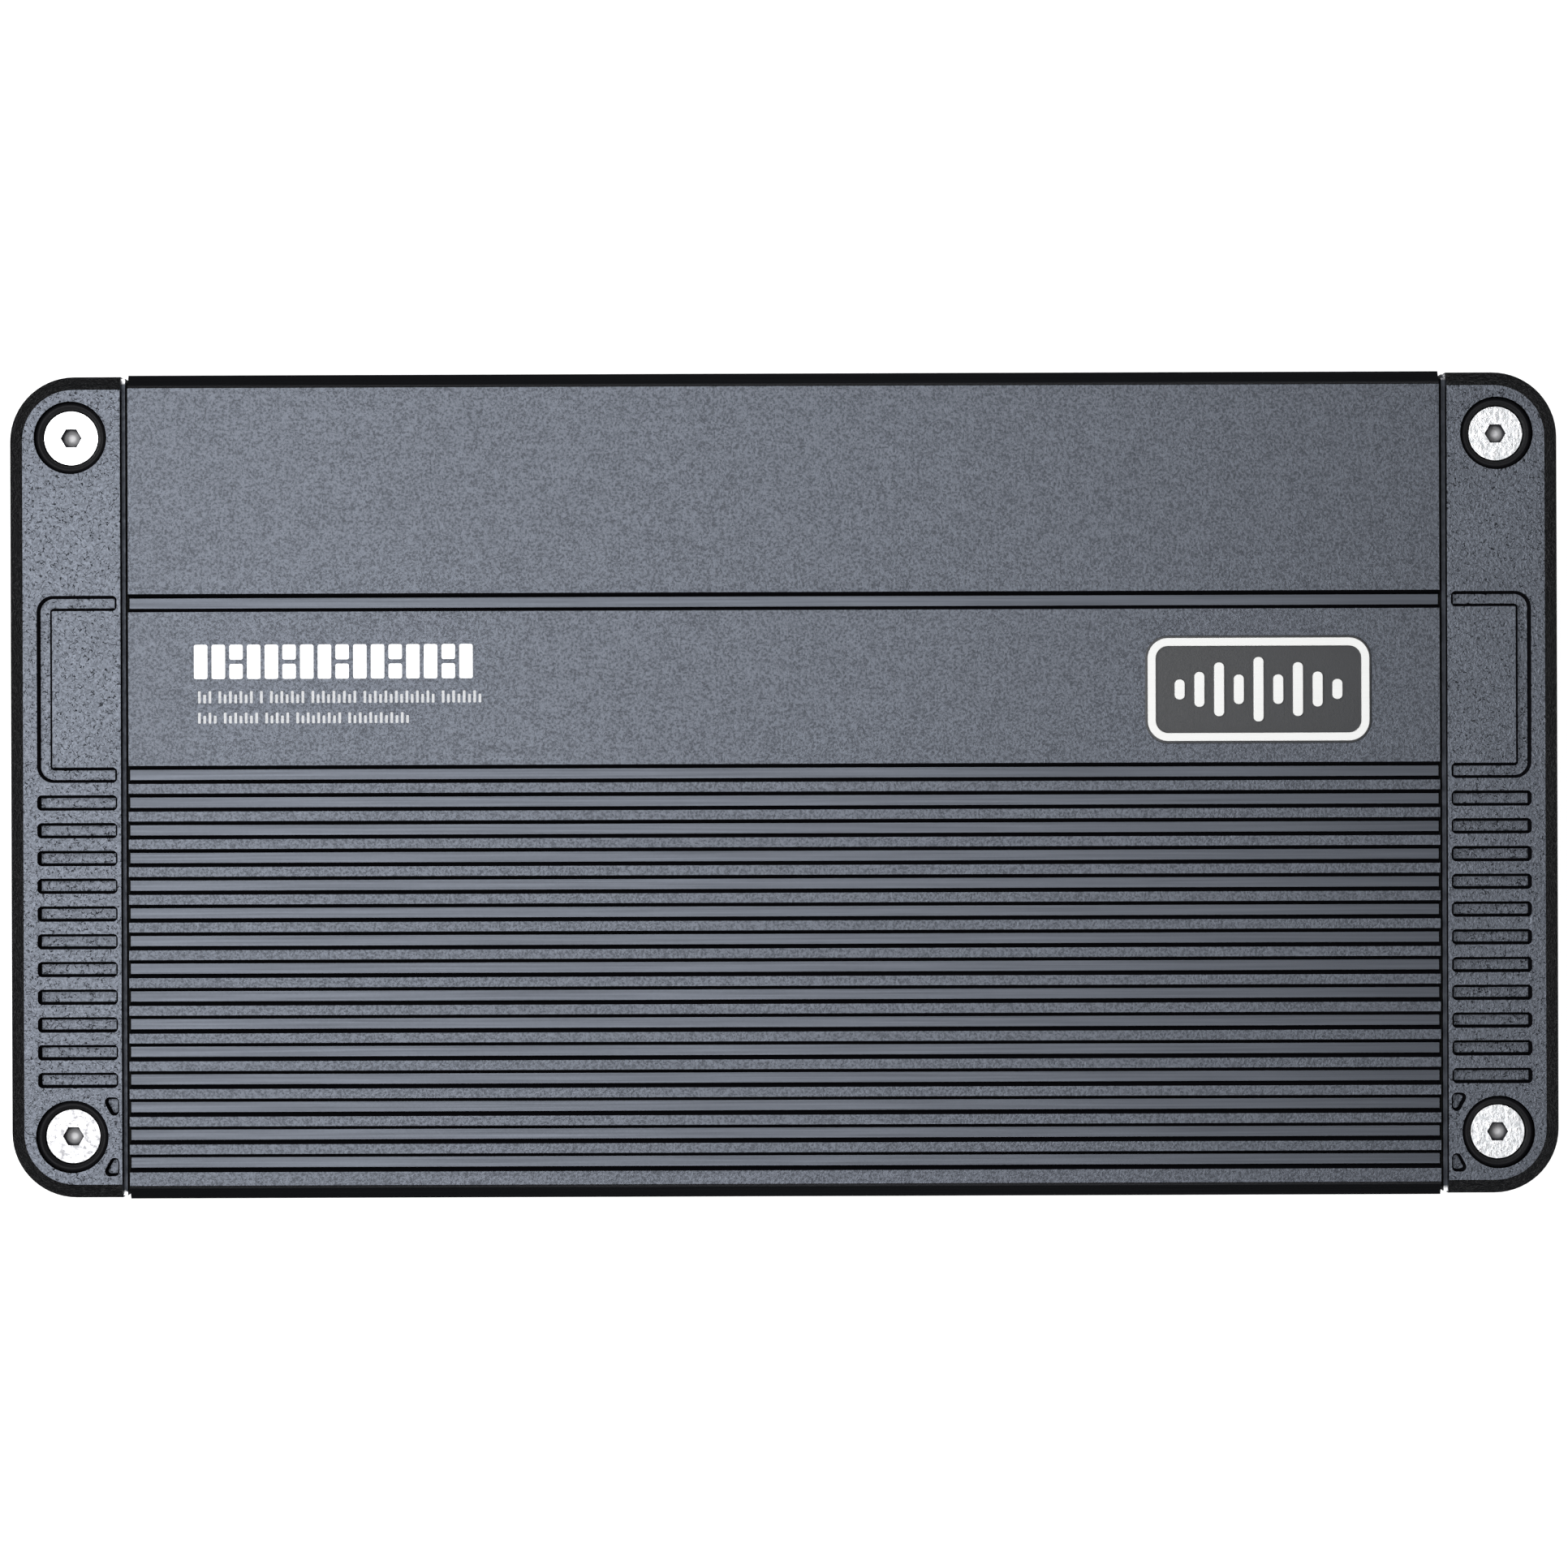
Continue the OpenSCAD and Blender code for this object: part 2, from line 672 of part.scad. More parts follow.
// A package stands against the wall: its body, its tab behind, and three leads to the board.
module transistor() {
  tab_h = package[2] + 6.3;
  lead = [0.8, 0.6];
  lead_pitch = 2.54;
  translate([-package[0] / 2, -package[1], 0]) cube([package[0], package[1] - tab_t, package[2]]);
  translate([-package[0] / 2, -tab_t, 0]) cube([package[0], tab_t, tab_h]);
  for (i = [-1 : 1])
    translate([i * lead_pitch - lead[0] / 2, -(package[1] + lead[1]) / 2, board_z - package_z])
      cube([lead[0], lead[1], package_z - board_z]);
}

// Rows of packages, pads, bars and screws along both side walls.
module along_both_walls() {
  for (s = [0, 1]) mirror([0, s, 0]) translate([0, wall_in, 0]) children();
}

module transistors() {
  color([0.1, 0.1, 0.1]) along_both_walls() for (i = [0 : transistor_n - 1])
    translate([transistor_x0 + i * transistor_pitch, -pad_t, package_z]) transistor();
}

// Clearance holes for the clamp bars' screws, through to the wall.
module clamp_screw_holes() {
  for (x = clamp_screw_x) translate([x, -2 * package[1], clamp_screw_z]) rotate([-90, 0, 0])
    cylinder(r = small_screw_r + 0.3, h = 3 * package[1]);
}

module thermal_pads() {
  margin = 2;
  color([0.6, 0.6, 0.62]) along_both_walls() difference() {
    translate([row_x0 - margin, -pad_t, package_z - 1])
      cube([row_l + 2 * margin, pad_t, package[2] + 8]);
    clamp_screw_holes();
  }
}

module clamp_bars() {
  bar_h = 6;
  color([0.6, 0.6, 0.62]) along_both_walls() difference() {
    translate([row_x0, -clamp_seat, clamp_screw_z - bar_h / 2]) cube([row_l, bar_t, bar_h]);
    clamp_screw_holes();
  }
}

module clamp_bar_screws() {
  head_h = 2.4;
  color([0.7, 0.7, 0.7]) along_both_walls() for (x = clamp_screw_x)
    translate([x, -clamp_seat, clamp_screw_z]) rotate([90, 0, 0])
      socket_screw(m3_head_r, head_h, small_screw_r, clamp_seat + wall_tap_depth - 0.1, m3_af);
}

// A toroid's core, and its winding as sectors around it.
module toroid_core(t) {
  rotate_extrude() translate([t[0], 0]) square([t[1] - t[0], t[2]]);
}

module toroid_winding(t) {
  wire = t[3];
  turns = t[4];
  filled = 0.8;                              // share of the ring that the wire covers
  for (i = [0 : turns - 1]) rotate([0, 0, i * 360 / turns])
    rotate_extrude(angle = 360 / turns * filled) difference() {
      translate([t[0] - wire, -wire]) square([t[1] - t[0] + 2 * wire, t[2] + 2 * wire]);
      translate([t[0] - fit, -fit]) square([t[1] - t[0] + 2 * fit, t[2] + 2 * fit]);
    }
}

module place_transformer() { translate([26, 0, board_z + transformer[3]]) children(); }
module place_inductor() { translate([-56, -26, board_z + inductor[3]]) children(); }

module transformer_core() {
  color([0.2, 0.3, 0.2]) place_transformer() toroid_core(transformer);
}

module transformer_winding() {
  color([0.7, 0.35, 0.15]) place_transformer() toroid_winding(transformer);
}

module output_inductor_core() {
  color([0.75, 0.7, 0.2]) place_inductor() toroid_core(inductor);
}

module output_inductor_winding() {
  color([0.7, 0.35, 0.15]) place_inductor() toroid_winding(inductor);
}

// A can with the pressed waist near its foot and a rounded upper edge.
module can(r, h) {
  waist = 0.7;
  waist_z = 3.1;
  rotate_extrude() polygon([
    [0, 0], [r, 0], [r, waist_z - waist], [r - waist, waist_z], [r, waist_z + waist],
    [r, h - waist], [r - waist, h], [0, h]
  ]);
}

module electrolytic_capacitors() {
  color([0.1, 0.1, 0.25]) for (i = [-1.5 : 1.5]) {
    translate([68, i * can_pitch, board_z]) can(8, 25);
    translate([-12, i * can_pitch, board_z]) can(8.5, 27);
  }
}

module film_capacitors() {
  size = [18, 8, 14];
  color([0.7, 0.15, 0.1]) for (y = [-2 : 12 : 34])
    translate([-66, y, board_z]) cube(size);
}

module control_chips() {
  size = [6, 9, 1.7];
  color([0.08, 0.08, 0.08]) for (x = [-80, -33], y = [-42 : 14 : 0])
    translate([x, y, board_z]) cube(size);
}

// ---------- signal end ----------

module rca_housings() {
  width = 14;
  margin = 6.4;
  color([0.05, 0.05, 0.05]) signal_end() for (y = rca_y) difference() {
    translate([control_board_u, y - width / 2, rca_z[0] - margin])
      cube([module_l, width, rca_z[1] - rca_z[0] + 2 * margin + 0.6]);
    for (z = rca_z) translate([0, y, z]) bar_x(rca_tail_r, -rca_tail_l, 0);
  }
}

module rca_sleeves() {
  flange_t = 1.2;
  color([0.8, 0.65, 0.3]) signal_end() for (y = rca_y, z = rca_z) translate([0, y, z])
    difference() {
      union() {
        bar_x(rca_tail_r, -rca_tail_l, 0);
        bar_x(rca_flange_r, 0, flange_t);
        bar_x(rca_sleeve_r, flange_t, rca_len);
      }
      bar_x(rca_bore_r, -rca_tail_l - eps, rca_len + eps);
    }
}

module rca_insert() {
  difference() {
    bar_x(rca_bore_r - 0.02, -rca_tail_l, rca_len - 0.6);
    bar_x(rca_pin_r, rca_len - 9, rca_len);
  }
}

module rca_inserts_white() {
  color("white") signal_end() for (y = rca_y) translate([0, y, rca_z[1]]) rca_insert();
}

module rca_inserts_red() {
  color([0.7, 0.05, 0.05]) signal_end() for (y = rca_y) translate([0, y, rca_z[0]]) rca_insert();
}

module potentiometers() {
  body = [6.5, 9.5, 11];
  neck_r = 3.2;
  bore_u = -9.7;
  color([0.1, 0.2, 0.35]) signal_end() for (i = [0 : 3])
    translate([0, knob_y0 + i * knob_pitch, knob_z]) difference() {
      union() {
        translate([control_board_u, -body[1] / 2, -6]) cube(body);
        bar_x(neck_r, control_board_u + body[0], -panel_t - 0.4);
      }
      bar_x(shaft_r + fit, bore_u, 0);
    }
}

// A turned control: the shaft runs in the potentiometer, the fluted head has a driver slot.
module knob(i) {
  flutes = 16;
  flute_r = 0.42;
  head_u = 0.5;
  flange_u = 1.7;
  slot = [1.4, 0.9, knob_d - 1.6];
  notch_w = 0.5;
  color([0.05, 0.05, 0.05]) signal_end() translate([0, knob_y0 + i * knob_pitch, knob_z])
    difference() {
      union() {
        bar_x(shaft_r, -9.5, 1);
        bar_x(knob_d / 2, head_u, knob_len);
        bar_x(knob_d / 2 + 0.35, head_u, flange_u);
      }
      for (a = [0 : 360 / flutes : 359]) rotate([a, 0, 0]) translate([0, knob_d / 2 + 0.1, 0])
        bar_x(flute_r, flange_u, knob_len + eps);
      translate([knob_len - slot[0], -slot[1] / 2, -slot[2] / 2])
        cube([slot[0] + eps, slot[1], slot[2]]);
      translate([knob_len - notch_w, -notch_w / 2, knob_d / 2 - 0.7]) cube([1, notch_w, 2]);
    }
}

module switch_bodies() {
  body = [11, 6];
  cavity_w = foot_w + switch_travel + 0.3;
  cavity_h = slider_h + 0.2;
  color([0.06, 0.06, 0.06]) signal_end() for (y = switch_y) translate([0, y, switch_z])
    difference() {
      translate([control_board_u, -body[0] / 2, -body[1] / 2]) cube([module_l, body[0], body[1]]);
      translate([-5, -cavity_w / 2, -cavity_h / 2]) cube([5, cavity_w, cavity_h]);
    }
}

// A slider rests at the low end of its travel; its wider foot keeps it in the switch.
module switch_slider(i) {
  foot_u = -4.9;
  foot_t = 1.6;
  color([0.85, 0.85, 0.85]) signal_end()
    translate([foot_u, switch_y[i] - switch_travel / 2, switch_z - slider_h / 2]) {
      translate([0, -foot_w / 2, 0]) cube([foot_t, foot_w, slider_h]);
      translate([0, -slider_w / 2, 0]) cube([slider_u - foot_u, slider_w, slider_h]);
    }
}

module remote_port() {
  front = 0.9;
  mouth_l = 10;
  latch = [6, 6, 3];
  color([0.05, 0.05, 0.05]) signal_end() translate([0, port_mid[0], port_mid[1]]) difference() {
    translate([control_board_u, -port_socket[0] / 2, -port_socket[1] / 2])
      cube([front - control_board_u, port_socket[0], port_socket[1]]);
    translate([-mouth_l, -port_mouth[0] / 2, -port_mouth[1] / 2 + port_lift])
      cube([mouth_l + front + eps, port_mouth[0], port_mouth[1]]);
    translate([-latch[0], -latch[1] / 2, port_lift - port_mouth[1] / 2 - 2])
      cube([latch[0] + front + eps, latch[1], latch[2]]);
  }
}

module remote_port_contacts() {
  pitch = 1.25;
  slant = 12;
  contact = [7, 0.4, 0.3];
  color([0.8, 0.65, 0.3]) signal_end()
    translate([-9.9, port_mid[0], port_mid[1] + port_mouth[1] / 2 + port_lift - 0.1])
      for (i = [-2.5 : 2.5]) translate([0, i * pitch - contact[1] / 2, 0])
        rotate([0, slant, 0]) translate([0.1, 0, -contact[2] - fit]) cube(contact);
}

module led(z) {
  back_u = -7;
  rim_t = 1;
  dome_u = 0.4;
  lead = 0.5;
  lead_y = 1.27;
  translate([0, led_y, z]) {
    bar_x(led_r, back_u + rim_t, dome_u);
    bar_x(led_r + 0.4, back_u, back_u + rim_t);
    translate([dome_u, 0, 0]) sphere(r = led_r);
    for (s = [-1, 1]) translate([control_board_u, s * lead_y - lead / 2, -lead / 2])
      cube([back_u - control_board_u, lead, lead]);
  }
}

module power_led() { color([0.1, 0.5, 0.9]) signal_end() led(led_z[0]); }
module protect_led() { color([0.8, 0.1, 0.05]) signal_end() led(led_z[1]); }

// ---------- power end ----------

// A clamping screw's frame: it leans back from its tip, which stops just above the wire hole.
module place_screw(p) {
  translate([screw_tip_u, 0, wire_z + p[3] + 0.1 + p[4] * cos(screw_tilt)])
    rotate([0, -screw_tilt, 0]) children();
}

// A terminal block's housing: each pole has a pocket for its clamp, open at the back, and two
// round mouths in front, with a barrier between neighbouring poles.
module terminal_housing(span, poles) {
  barrier = [2.2, 1.2, block_z1 - board_z - 3];
  key_r = 0.6;
  difference() {
    union() {
      translate([block_back, span[0], board_z])
        cube([block_front - block_back, span[1] - span[0], block_z1 - board_z]);
      for (i = [0 : len(poles) - 2]) {
        mid = (poles[i][0] + poles[i][1] / 2 + poles[i + 1][0] - poles[i + 1][1] / 2) / 2;
        translate([block_front, mid - barrier[1] / 2, board_z + 1.5]) cube(barrier);
      }
    }
    for (p = poles) translate([0, p[0], 0]) {
      translate([block_back - eps, -p[1] / 2, clamp_z0])
        cube([clamp_front - block_back + eps, p[1], p[2] - clamp_z0]);
      translate([0, 0, wire_z])
        bar_x(p[3] + collar_t + fit, clamp_front - eps, block_front + eps);
      place_screw(p) bar_x(p[4] + key_r, 3, 12);
    }
  }
}

// A clamp block: its collar reaches through the housing's mouth and guides the wire in.
module clamp(p) {
  width = p[1] - 2 * fit;
  difference() {
    union() {
      translate([clamp_back, p[0] - width / 2, clamp_z0 + fit])
        cube([clamp_front - fit - clamp_back, width, p[2] - clamp_z0 - 2 * fit]);
      translate([0, p[0], wire_z]) bar_x(p[3] + collar_t, clamp_front - 1, collar_front);
    }
    translate([0, p[0], wire_z]) bar_x(p[3], wire_back, collar_front + eps);
    translate([0, p[0], 0]) place_screw(p) bar_x(p[4] + fit, -2, 9);
  }
}

// A headless clamping screw with a hexagon socket.
module terminal_screw(p) {
  socket_l = 2.4;
  hex_r = p[4] * 0.62;
  color([0.75, 0.75, 0.77]) power_end() translate([0, p[0], 0]) place_screw(p) difference() {
    bar_x(p[4], 0, screw_l);
    translate([screw_l - socket_l, 0, 0]) rotate([0, 90, 0])
      cylinder(r = hex_r, h = socket_l + eps, $fn = 6);
  }
}

module power_terminal_block() {
  color([0.05, 0.05, 0.05]) power_end() terminal_housing(power_block_y, power_poles);
}

module speaker_terminal_block() {
  color([0.05, 0.05, 0.05]) power_end() terminal_housing(speaker_block_y, speaker_poles);
}

module power_terminal_clamps() {
  color([0.8, 0.68, 0.4]) power_end() for (p = power_poles) clamp(p);
}

module speaker_terminal_clamps() {
  color([0.8, 0.68, 0.4]) power_end() for (p = speaker_poles) clamp(p);
}

// The holder: a seat in front for each fuse's body, and two narrow chambers behind for its clips.
module fuse_holder() {
  seat = [fuse_size[1] + 0.4, fuse_size[2] + 0.5];
  chamber_w = 6;
  chamber_h = blade_t + 2 * clip_leaf + 0.5;
  color([0.05, 0.05, 0.05]) power_end() difference() {
    translate([block_back, fuse_block_y[0], board_z])
      cube([fuse_front_u - block_back, fuse_block_y[1] - fuse_block_y[0], block_z1 - board_z]);
    for (z = fuse_z) translate([0, fuse_mid_y, z]) {
      translate([fuse_seat_u - 0.1, -seat[0] / 2, -seat[1] / 2])
        cube([fuse_front_u + 2, seat[0], seat[1]]);
      for (s = [-1, 1]) translate([chamber_u, s * blade_y - chamber_w / 2, -chamber_h / 2])
        cube([-chamber_u, chamber_w, chamber_h]);
    }
  }
}

// Spring clips: two leaves joined at the back, one either side of a blade.
module fuse_contacts() {
  gap = blade_t / 2 + fit;
  clip_w = 5.4;
  clip_l = 8;
  back_t = 0.6;
  color([0.75, 0.72, 0.6]) power_end() for (z = fuse_z, s = [-1, 1])
    translate([chamber_u + 0.1, fuse_mid_y + s * blade_y - clip_w / 2, z]) {
      for (m = [0, 1]) mirror([0, 0, m]) translate([0, 0, gap]) cube([clip_l, clip_w, clip_leaf]);
      translate([0, 0, -gap - clip_leaf]) cube([back_t, clip_w, 2 * (gap + clip_leaf)]);
    }
}

// A blade fuse's plastic body: a grip with notches and windows, and slots for its blades.
module fuse_body(z) {
  l = fuse_size[0];
  w = fuse_size[1];
  t = fuse_size[2];
  notch = [2.2, 2, 2 * t];
  window = [6, 5.2, 1.2];
  color([0.1, 0.55, 0.2]) power_end() translate([fuse_seat_u, fuse_mid_y, z]) difference() {
    translate([0, -w / 2, -t / 2]) cube(fuse_size);
    for (s = [-1, 1]) {
      translate([l - 3.6, s * (w / 2 - 0.5) - notch[1] / 2, -t]) cube(notch);
      for (f = [-1, 1])
        translate([3, s * 5 - window[1] / 2, f * (t / 2 - 0.5) - window[2] / 2]) cube(window);
      translate([-eps, s * blade_y - blade_w / 2, -blade_t / 2])
        cube([blade_held + eps, blade_w, blade_t]);
    }
  }
}

module fuse_blades(z) {
  color([0.75, 0.75, 0.77]) power_end() for (s = [-1, 1])
    translate([fuse_seat_u - blade_len, fuse_mid_y + s * blade_y - blade_w / 2, z - blade_t / 2])
      cube([blade_len + blade_held, blade_w, blade_t]);
}

// ---------- nodes ----------

heatsink();
base_plate();
base_plate_screws();
signal_end() end_cap();  // signal_end_cap
power_end() end_cap();  // power_end_cap
signal_panel();
power_panel();
panel_gaskets();
end_cap_screws();
corner_screws();
corner_bushings();
corner_inserts();
badge_base();
badge_face();
main_board();
board_screws();
control_board();
board_link_header();
transistors();
thermal_pads();
clamp_bars();
clamp_bar_screws();
transformer_core();
transformer_winding();
output_inductor_core();
output_inductor_winding();
electrolytic_capacitors();
film_capacitors();
control_chips();
rca_housings();
rca_sleeves();
rca_inserts_white();
rca_inserts_red();
potentiometers();
knob(0);  // gain_knob
knob(1);  // lowpass_knob
knob(2);  // subsonic_knob
knob(3);  // bass_boost_knob
switch_bodies();
switch_slider(0);  // phase_switch_slider
switch_slider(1);  // level_switch_slider
remote_port();
remote_port_contacts();
power_led();
protect_led();
power_terminal_block();
power_terminal_clamps();
terminal_screw(ground_pole);  // ground_terminal_screw
terminal_screw(remote_pole);  // remote_terminal_screw
terminal_screw(battery_pole);  // battery_terminal_screw
speaker_terminal_block();
speaker_terminal_clamps();
terminal_screw(minus_pole);  // speaker_minus_screw
terminal_screw(plus_pole);  // speaker_plus_screw
fuse_holder();
fuse_contacts();
fuse_body(fuse_z[1]);  // upper_fuse
fuse_blades(fuse_z[1]);  // upper_fuse_blades
fuse_body(fuse_z[0]);  // lower_fuse
fuse_blades(fuse_z[0]);  // lower_fuse_blades
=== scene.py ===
"""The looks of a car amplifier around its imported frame: materials, edge rounding, printing, light and camera.

Everything is in metres in the row frame: +X along the fins towards the power end, +Y across towards the
plain band, +Z up, with the origin on the mounting plane. Sizes below are in millimetres where named mm().
"""

import math

import bmesh
import bpy
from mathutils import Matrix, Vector

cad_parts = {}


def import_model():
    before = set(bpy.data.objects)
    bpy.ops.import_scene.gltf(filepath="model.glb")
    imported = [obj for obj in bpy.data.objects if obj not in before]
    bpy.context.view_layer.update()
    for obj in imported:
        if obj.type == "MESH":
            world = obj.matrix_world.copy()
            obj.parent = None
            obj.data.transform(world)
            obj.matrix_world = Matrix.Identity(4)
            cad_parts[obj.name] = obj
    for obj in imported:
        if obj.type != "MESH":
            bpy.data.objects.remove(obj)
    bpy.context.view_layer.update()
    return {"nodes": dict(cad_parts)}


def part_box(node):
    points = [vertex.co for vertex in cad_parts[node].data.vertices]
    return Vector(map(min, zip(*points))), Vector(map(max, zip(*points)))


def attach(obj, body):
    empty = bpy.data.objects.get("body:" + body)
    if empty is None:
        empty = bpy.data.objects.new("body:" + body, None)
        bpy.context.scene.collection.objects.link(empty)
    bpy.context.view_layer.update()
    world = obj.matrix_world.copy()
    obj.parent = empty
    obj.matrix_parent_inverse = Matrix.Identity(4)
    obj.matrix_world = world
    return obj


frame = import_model()
nodes = frame["nodes"]
ROOT = "amplifier"


def mm(*values):
    """Millimetres to metres: one number, or a tuple."""
    scaled = tuple(v / 1000 for v in values)
    return scaled if len(scaled) > 1 else scaled[0]


# ---------------------------------------------------------------- places read from the frame

TOP_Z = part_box("heatsink")[1].z
HALF_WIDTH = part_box("signal_end_cap")[1].y
SIGNAL_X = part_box("signal_panel")[0].x          # outer face of the signal panel
PANEL_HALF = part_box("signal_panel")[1].y
PANEL_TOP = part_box("signal_panel")[1].z
BLOCK_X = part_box("power_terminal_clamps")[1].x + mm(0.6)    # front of both terminal blocks
SHOULDER_WIDTH = mm(2.2)                        # the strip along each long side that slopes
SHOULDER_FACING = 0.66                          # how far the sloping top edges face up
FIN_SHADE_DOWN_TO = mm(3.2)                     # how far down the walls between the fins get painted shade, a flat black
CAP_SHADE_DOWN_TO = mm(2.25)                    # and the walls of the end caps' slots and pockets
HEAD_R = mm(4)                                  # of the corner screws
SOCKET_R = mm(1.6)                              # a circle just outside their hexagons
KNOBS = ("gain_knob", "lowpass_knob", "subsonic_knob", "bass_boost_knob")
TERMINAL_SCREWS = ("ground_terminal_screw", "remote_terminal_screw", "battery_terminal_screw",
                   "speaker_minus_screw", "speaker_plus_screw")


def middle(node):
    low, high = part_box(node)
    return (low + high) / 2


def wire(tree, *pairs):
    """Links sockets of a node tree, each pair from an output to an input."""
    for output, target in pairs:
        tree.links.new(output, target)


# ---------------------------------------------------------------- shader building blocks

COLOUR_A, COLOUR_B, MIXED_COLOUR = 6, 7, 2      # a Mix node's sockets for colours
NUMBER_A, NUMBER_B = 2, 3                       # and its inputs for numbers


class Shader:
    """A Principled material whose patterns are procedural textures in object space."""

    def __init__(self, name, base, rough, metal=0.0, spec=0.5):
        self.material = bpy.data.materials.new(name)
        self.material.use_nodes = True
        self.tree = self.material.node_tree
        self.bsdf = self.tree.nodes["Principled BSDF"]
        self.put("Base Color", (*base, 1))
        self.put("Roughness", rough)
        self.put("Metallic", metal)
        self.put("Specular IOR Level", spec)
        self.normal = None
        self.object_coords = self.node("ShaderNodeTexCoord").outputs["Object"]

    def feed(self, target, value):
        """Sets an input socket, or links it when value is another node's output."""
        if isinstance(value, bpy.types.NodeSocket):
            self.tree.links.new(value, target)
        else:
            target.default_value = value

    def put(self, socket, value):
        """Feeds one of the Principled shader's own sockets."""
        self.feed(self.bsdf.inputs[socket], value)

    def node(self, kind, **settings):
        made = self.tree.nodes.new(kind)
        for key, value in settings.items():
            setattr(made, key, value)
        return made

    def math(self, operation, a, b=0.0):
        made = self.node("ShaderNodeMath", operation=operation)
        self.feed(made.inputs[0], a)
        self.feed(made.inputs[1], b)
        return made.outputs[0]

    def axis(self, name, source=None):
        """One coordinate of a vector, or of the object-space position in metres."""
        split = self.node("ShaderNodeSeparateXYZ")
        self.tree.links.new(source or self.object_coords, split.inputs[0])
        return split.outputs[name]

    def coords(self, size, stretch=(1, 1, 1)):
        """Object coordinates in units of size, in metres, drawn out by stretch along each axis."""
        made = self.node("ShaderNodeMapping")
        self.tree.links.new(self.object_coords, made.inputs["Vector"])
        made.inputs["Scale"].default_value = [1 / (size * s) for s in stretch]
        return made.outputs["Vector"]

    def noise(self, size, stretch=(1, 1, 1), detail=2.0, rough=0.5):
        made = self.node("ShaderNodeTexNoise")
        self.tree.links.new(self.coords(size, stretch), made.inputs["Vector"])
        made.inputs["Scale"].default_value = 1.0
        made.inputs["Detail"].default_value = detail
        made.inputs["Roughness"].default_value = rough
        return made.outputs["Fac"]

    def cells(self, size, feature="F1"):
        made = self.node("ShaderNodeTexVoronoi", feature=feature)
        self.tree.links.new(self.coords(size), made.inputs["Vector"])
        made.inputs["Scale"].default_value = 1.0
        return made.outputs["Distance"]

    def remap(self, value, low, high, to_low=0.0, to_high=1.0):
        """Takes low to to_low and high to to_high, and stays within those two beyond them."""
        made = self.node("ShaderNodeMapRange", clamp=True)
        self.feed(made.inputs["Value"], value)
        limits = {"From Min": low, "From Max": high, "To Min": to_low, "To Max": to_high}
        for socket, number in limits.items():
            made.inputs[socket].default_value = number
        return made.outputs["Result"]

    def blend(self, factor, a, b):
        """A colour that goes from a to b with factor."""
        made = self.node("ShaderNodeMix", data_type="RGBA")
        self.feed(made.inputs["Factor"], factor)
        for socket, value in ((COLOUR_A, a), (COLOUR_B, b)):
            linked = isinstance(value, bpy.types.NodeSocket)
            self.feed(made.inputs[socket], value if linked else (*value, 1))
        return made.outputs[MIXED_COLOUR]

    def bump(self, height, depth, strength=1.0):
        """Adds relief of the given depth in metres on top of any earlier relief."""
        made = self.node("ShaderNodeBump")
        made.inputs["Strength"].default_value = strength
        made.inputs["Distance"].default_value = depth
        self.tree.links.new(height, made.inputs["Height"])
        if self.normal:
            self.tree.links.new(self.normal, made.inputs["Normal"])
        self.normal = made.outputs["Normal"]
        self.put("Normal", self.normal)

    def facing(self, axis):
        """How far the surface faces along an axis of the row frame, from 0 to 1, either way."""
        normal = self.node("ShaderNodeTexCoord").outputs["Normal"]
        return self.math("ABSOLUTE", self.axis(axis, normal))

    def shoulders(self):
        """1 on faces that slope like the shoulders along the top edges."""
        off = self.math("ABSOLUTE", self.math("SUBTRACT", self.facing("Z"), SHOULDER_FACING))
        return self.remap(off, 0.16, 0.10)

    def smoother_shoulders(self, rough):
        """Roughness that drops on the shoulders."""
        made = self.node("ShaderNodeMix", data_type="FLOAT")
        for socket, value in (("Factor", self.shoulders()), (NUMBER_A, rough), (NUMBER_B, SHOULDER_ROUGH)):
            self.feed(made.inputs[socket], value)
        return made.outputs[0]

    def recess_shade_mask(self, depth):
        """1 on the steep walls of whatever is sunk into the top, down to the given depth: where painted shade
        goes.
        """
        steep = self.remap(self.facing("Z"), 0.5, 0.35)
        high = self.remap(self.axis("Z"), TOP_Z - depth - mm(0.1), TOP_Z - depth)
        edge = HALF_WIDTH - SHOULDER_WIDTH
        inside = self.remap(self.math("ABSOLUTE", self.axis("Y")), edge + mm(0.2), edge)
        return self.math("MULTIPLY", self.math("MULTIPLY", steep, high), inside)

    def paint_shade(self, mask, colour, shoulder_shade):
        """Paints shade over colour, a mirroring black: the masked parts get painted shade, a flat black that
        mirrors nothing.

        The shoulders get painted shade too, a deeper black, the given part of the usual one, but keep their
        gloss.
        """
        # Painted shade on the shoulders: their colour drops to the given part of the anodised black.
        shaded_shoulders = self.blend(self.shoulders(), colour, shade(ANODISED, shoulder_shade))
        self.put("Base Color", self.blend(mask, shaded_shoulders, SHADE_AND_NYLON_BLACK))
        self.put("Metallic", self.math("SUBTRACT", 1.0, mask))

    def edges(self, radius):
        """0 on flat stretches, towards 1 on edges sharper than the radius."""
        bevel = self.node("ShaderNodeBevel", samples=4)
        bevel.inputs["Radius"].default_value = radius
        plain = self.node("ShaderNodeNewGeometry")
        dot = self.node("ShaderNodeVectorMath", operation="DOT_PRODUCT")
        self.tree.links.new(bevel.outputs["Normal"], dot.inputs[0])
        self.tree.links.new(plain.outputs["Normal"], dot.inputs[1])
        return self.remap(dot.outputs["Value"], 0.99, 0.8)


# ---------------------------------------------------------------- materials


def shade(colour, factor):
    return tuple(c * factor for c in colour)


ANODISED = (0.0425, 0.0465, 0.0550)             # what black anodising mirrors, bluish at every angle
SHADE_AND_NYLON_BLACK = (0.004, 0.004, 0.005)              # painted shade on the walls of grooves and slots; also the corner bushings' matt black nylon
SHOULDER_ROUGH = 0.2


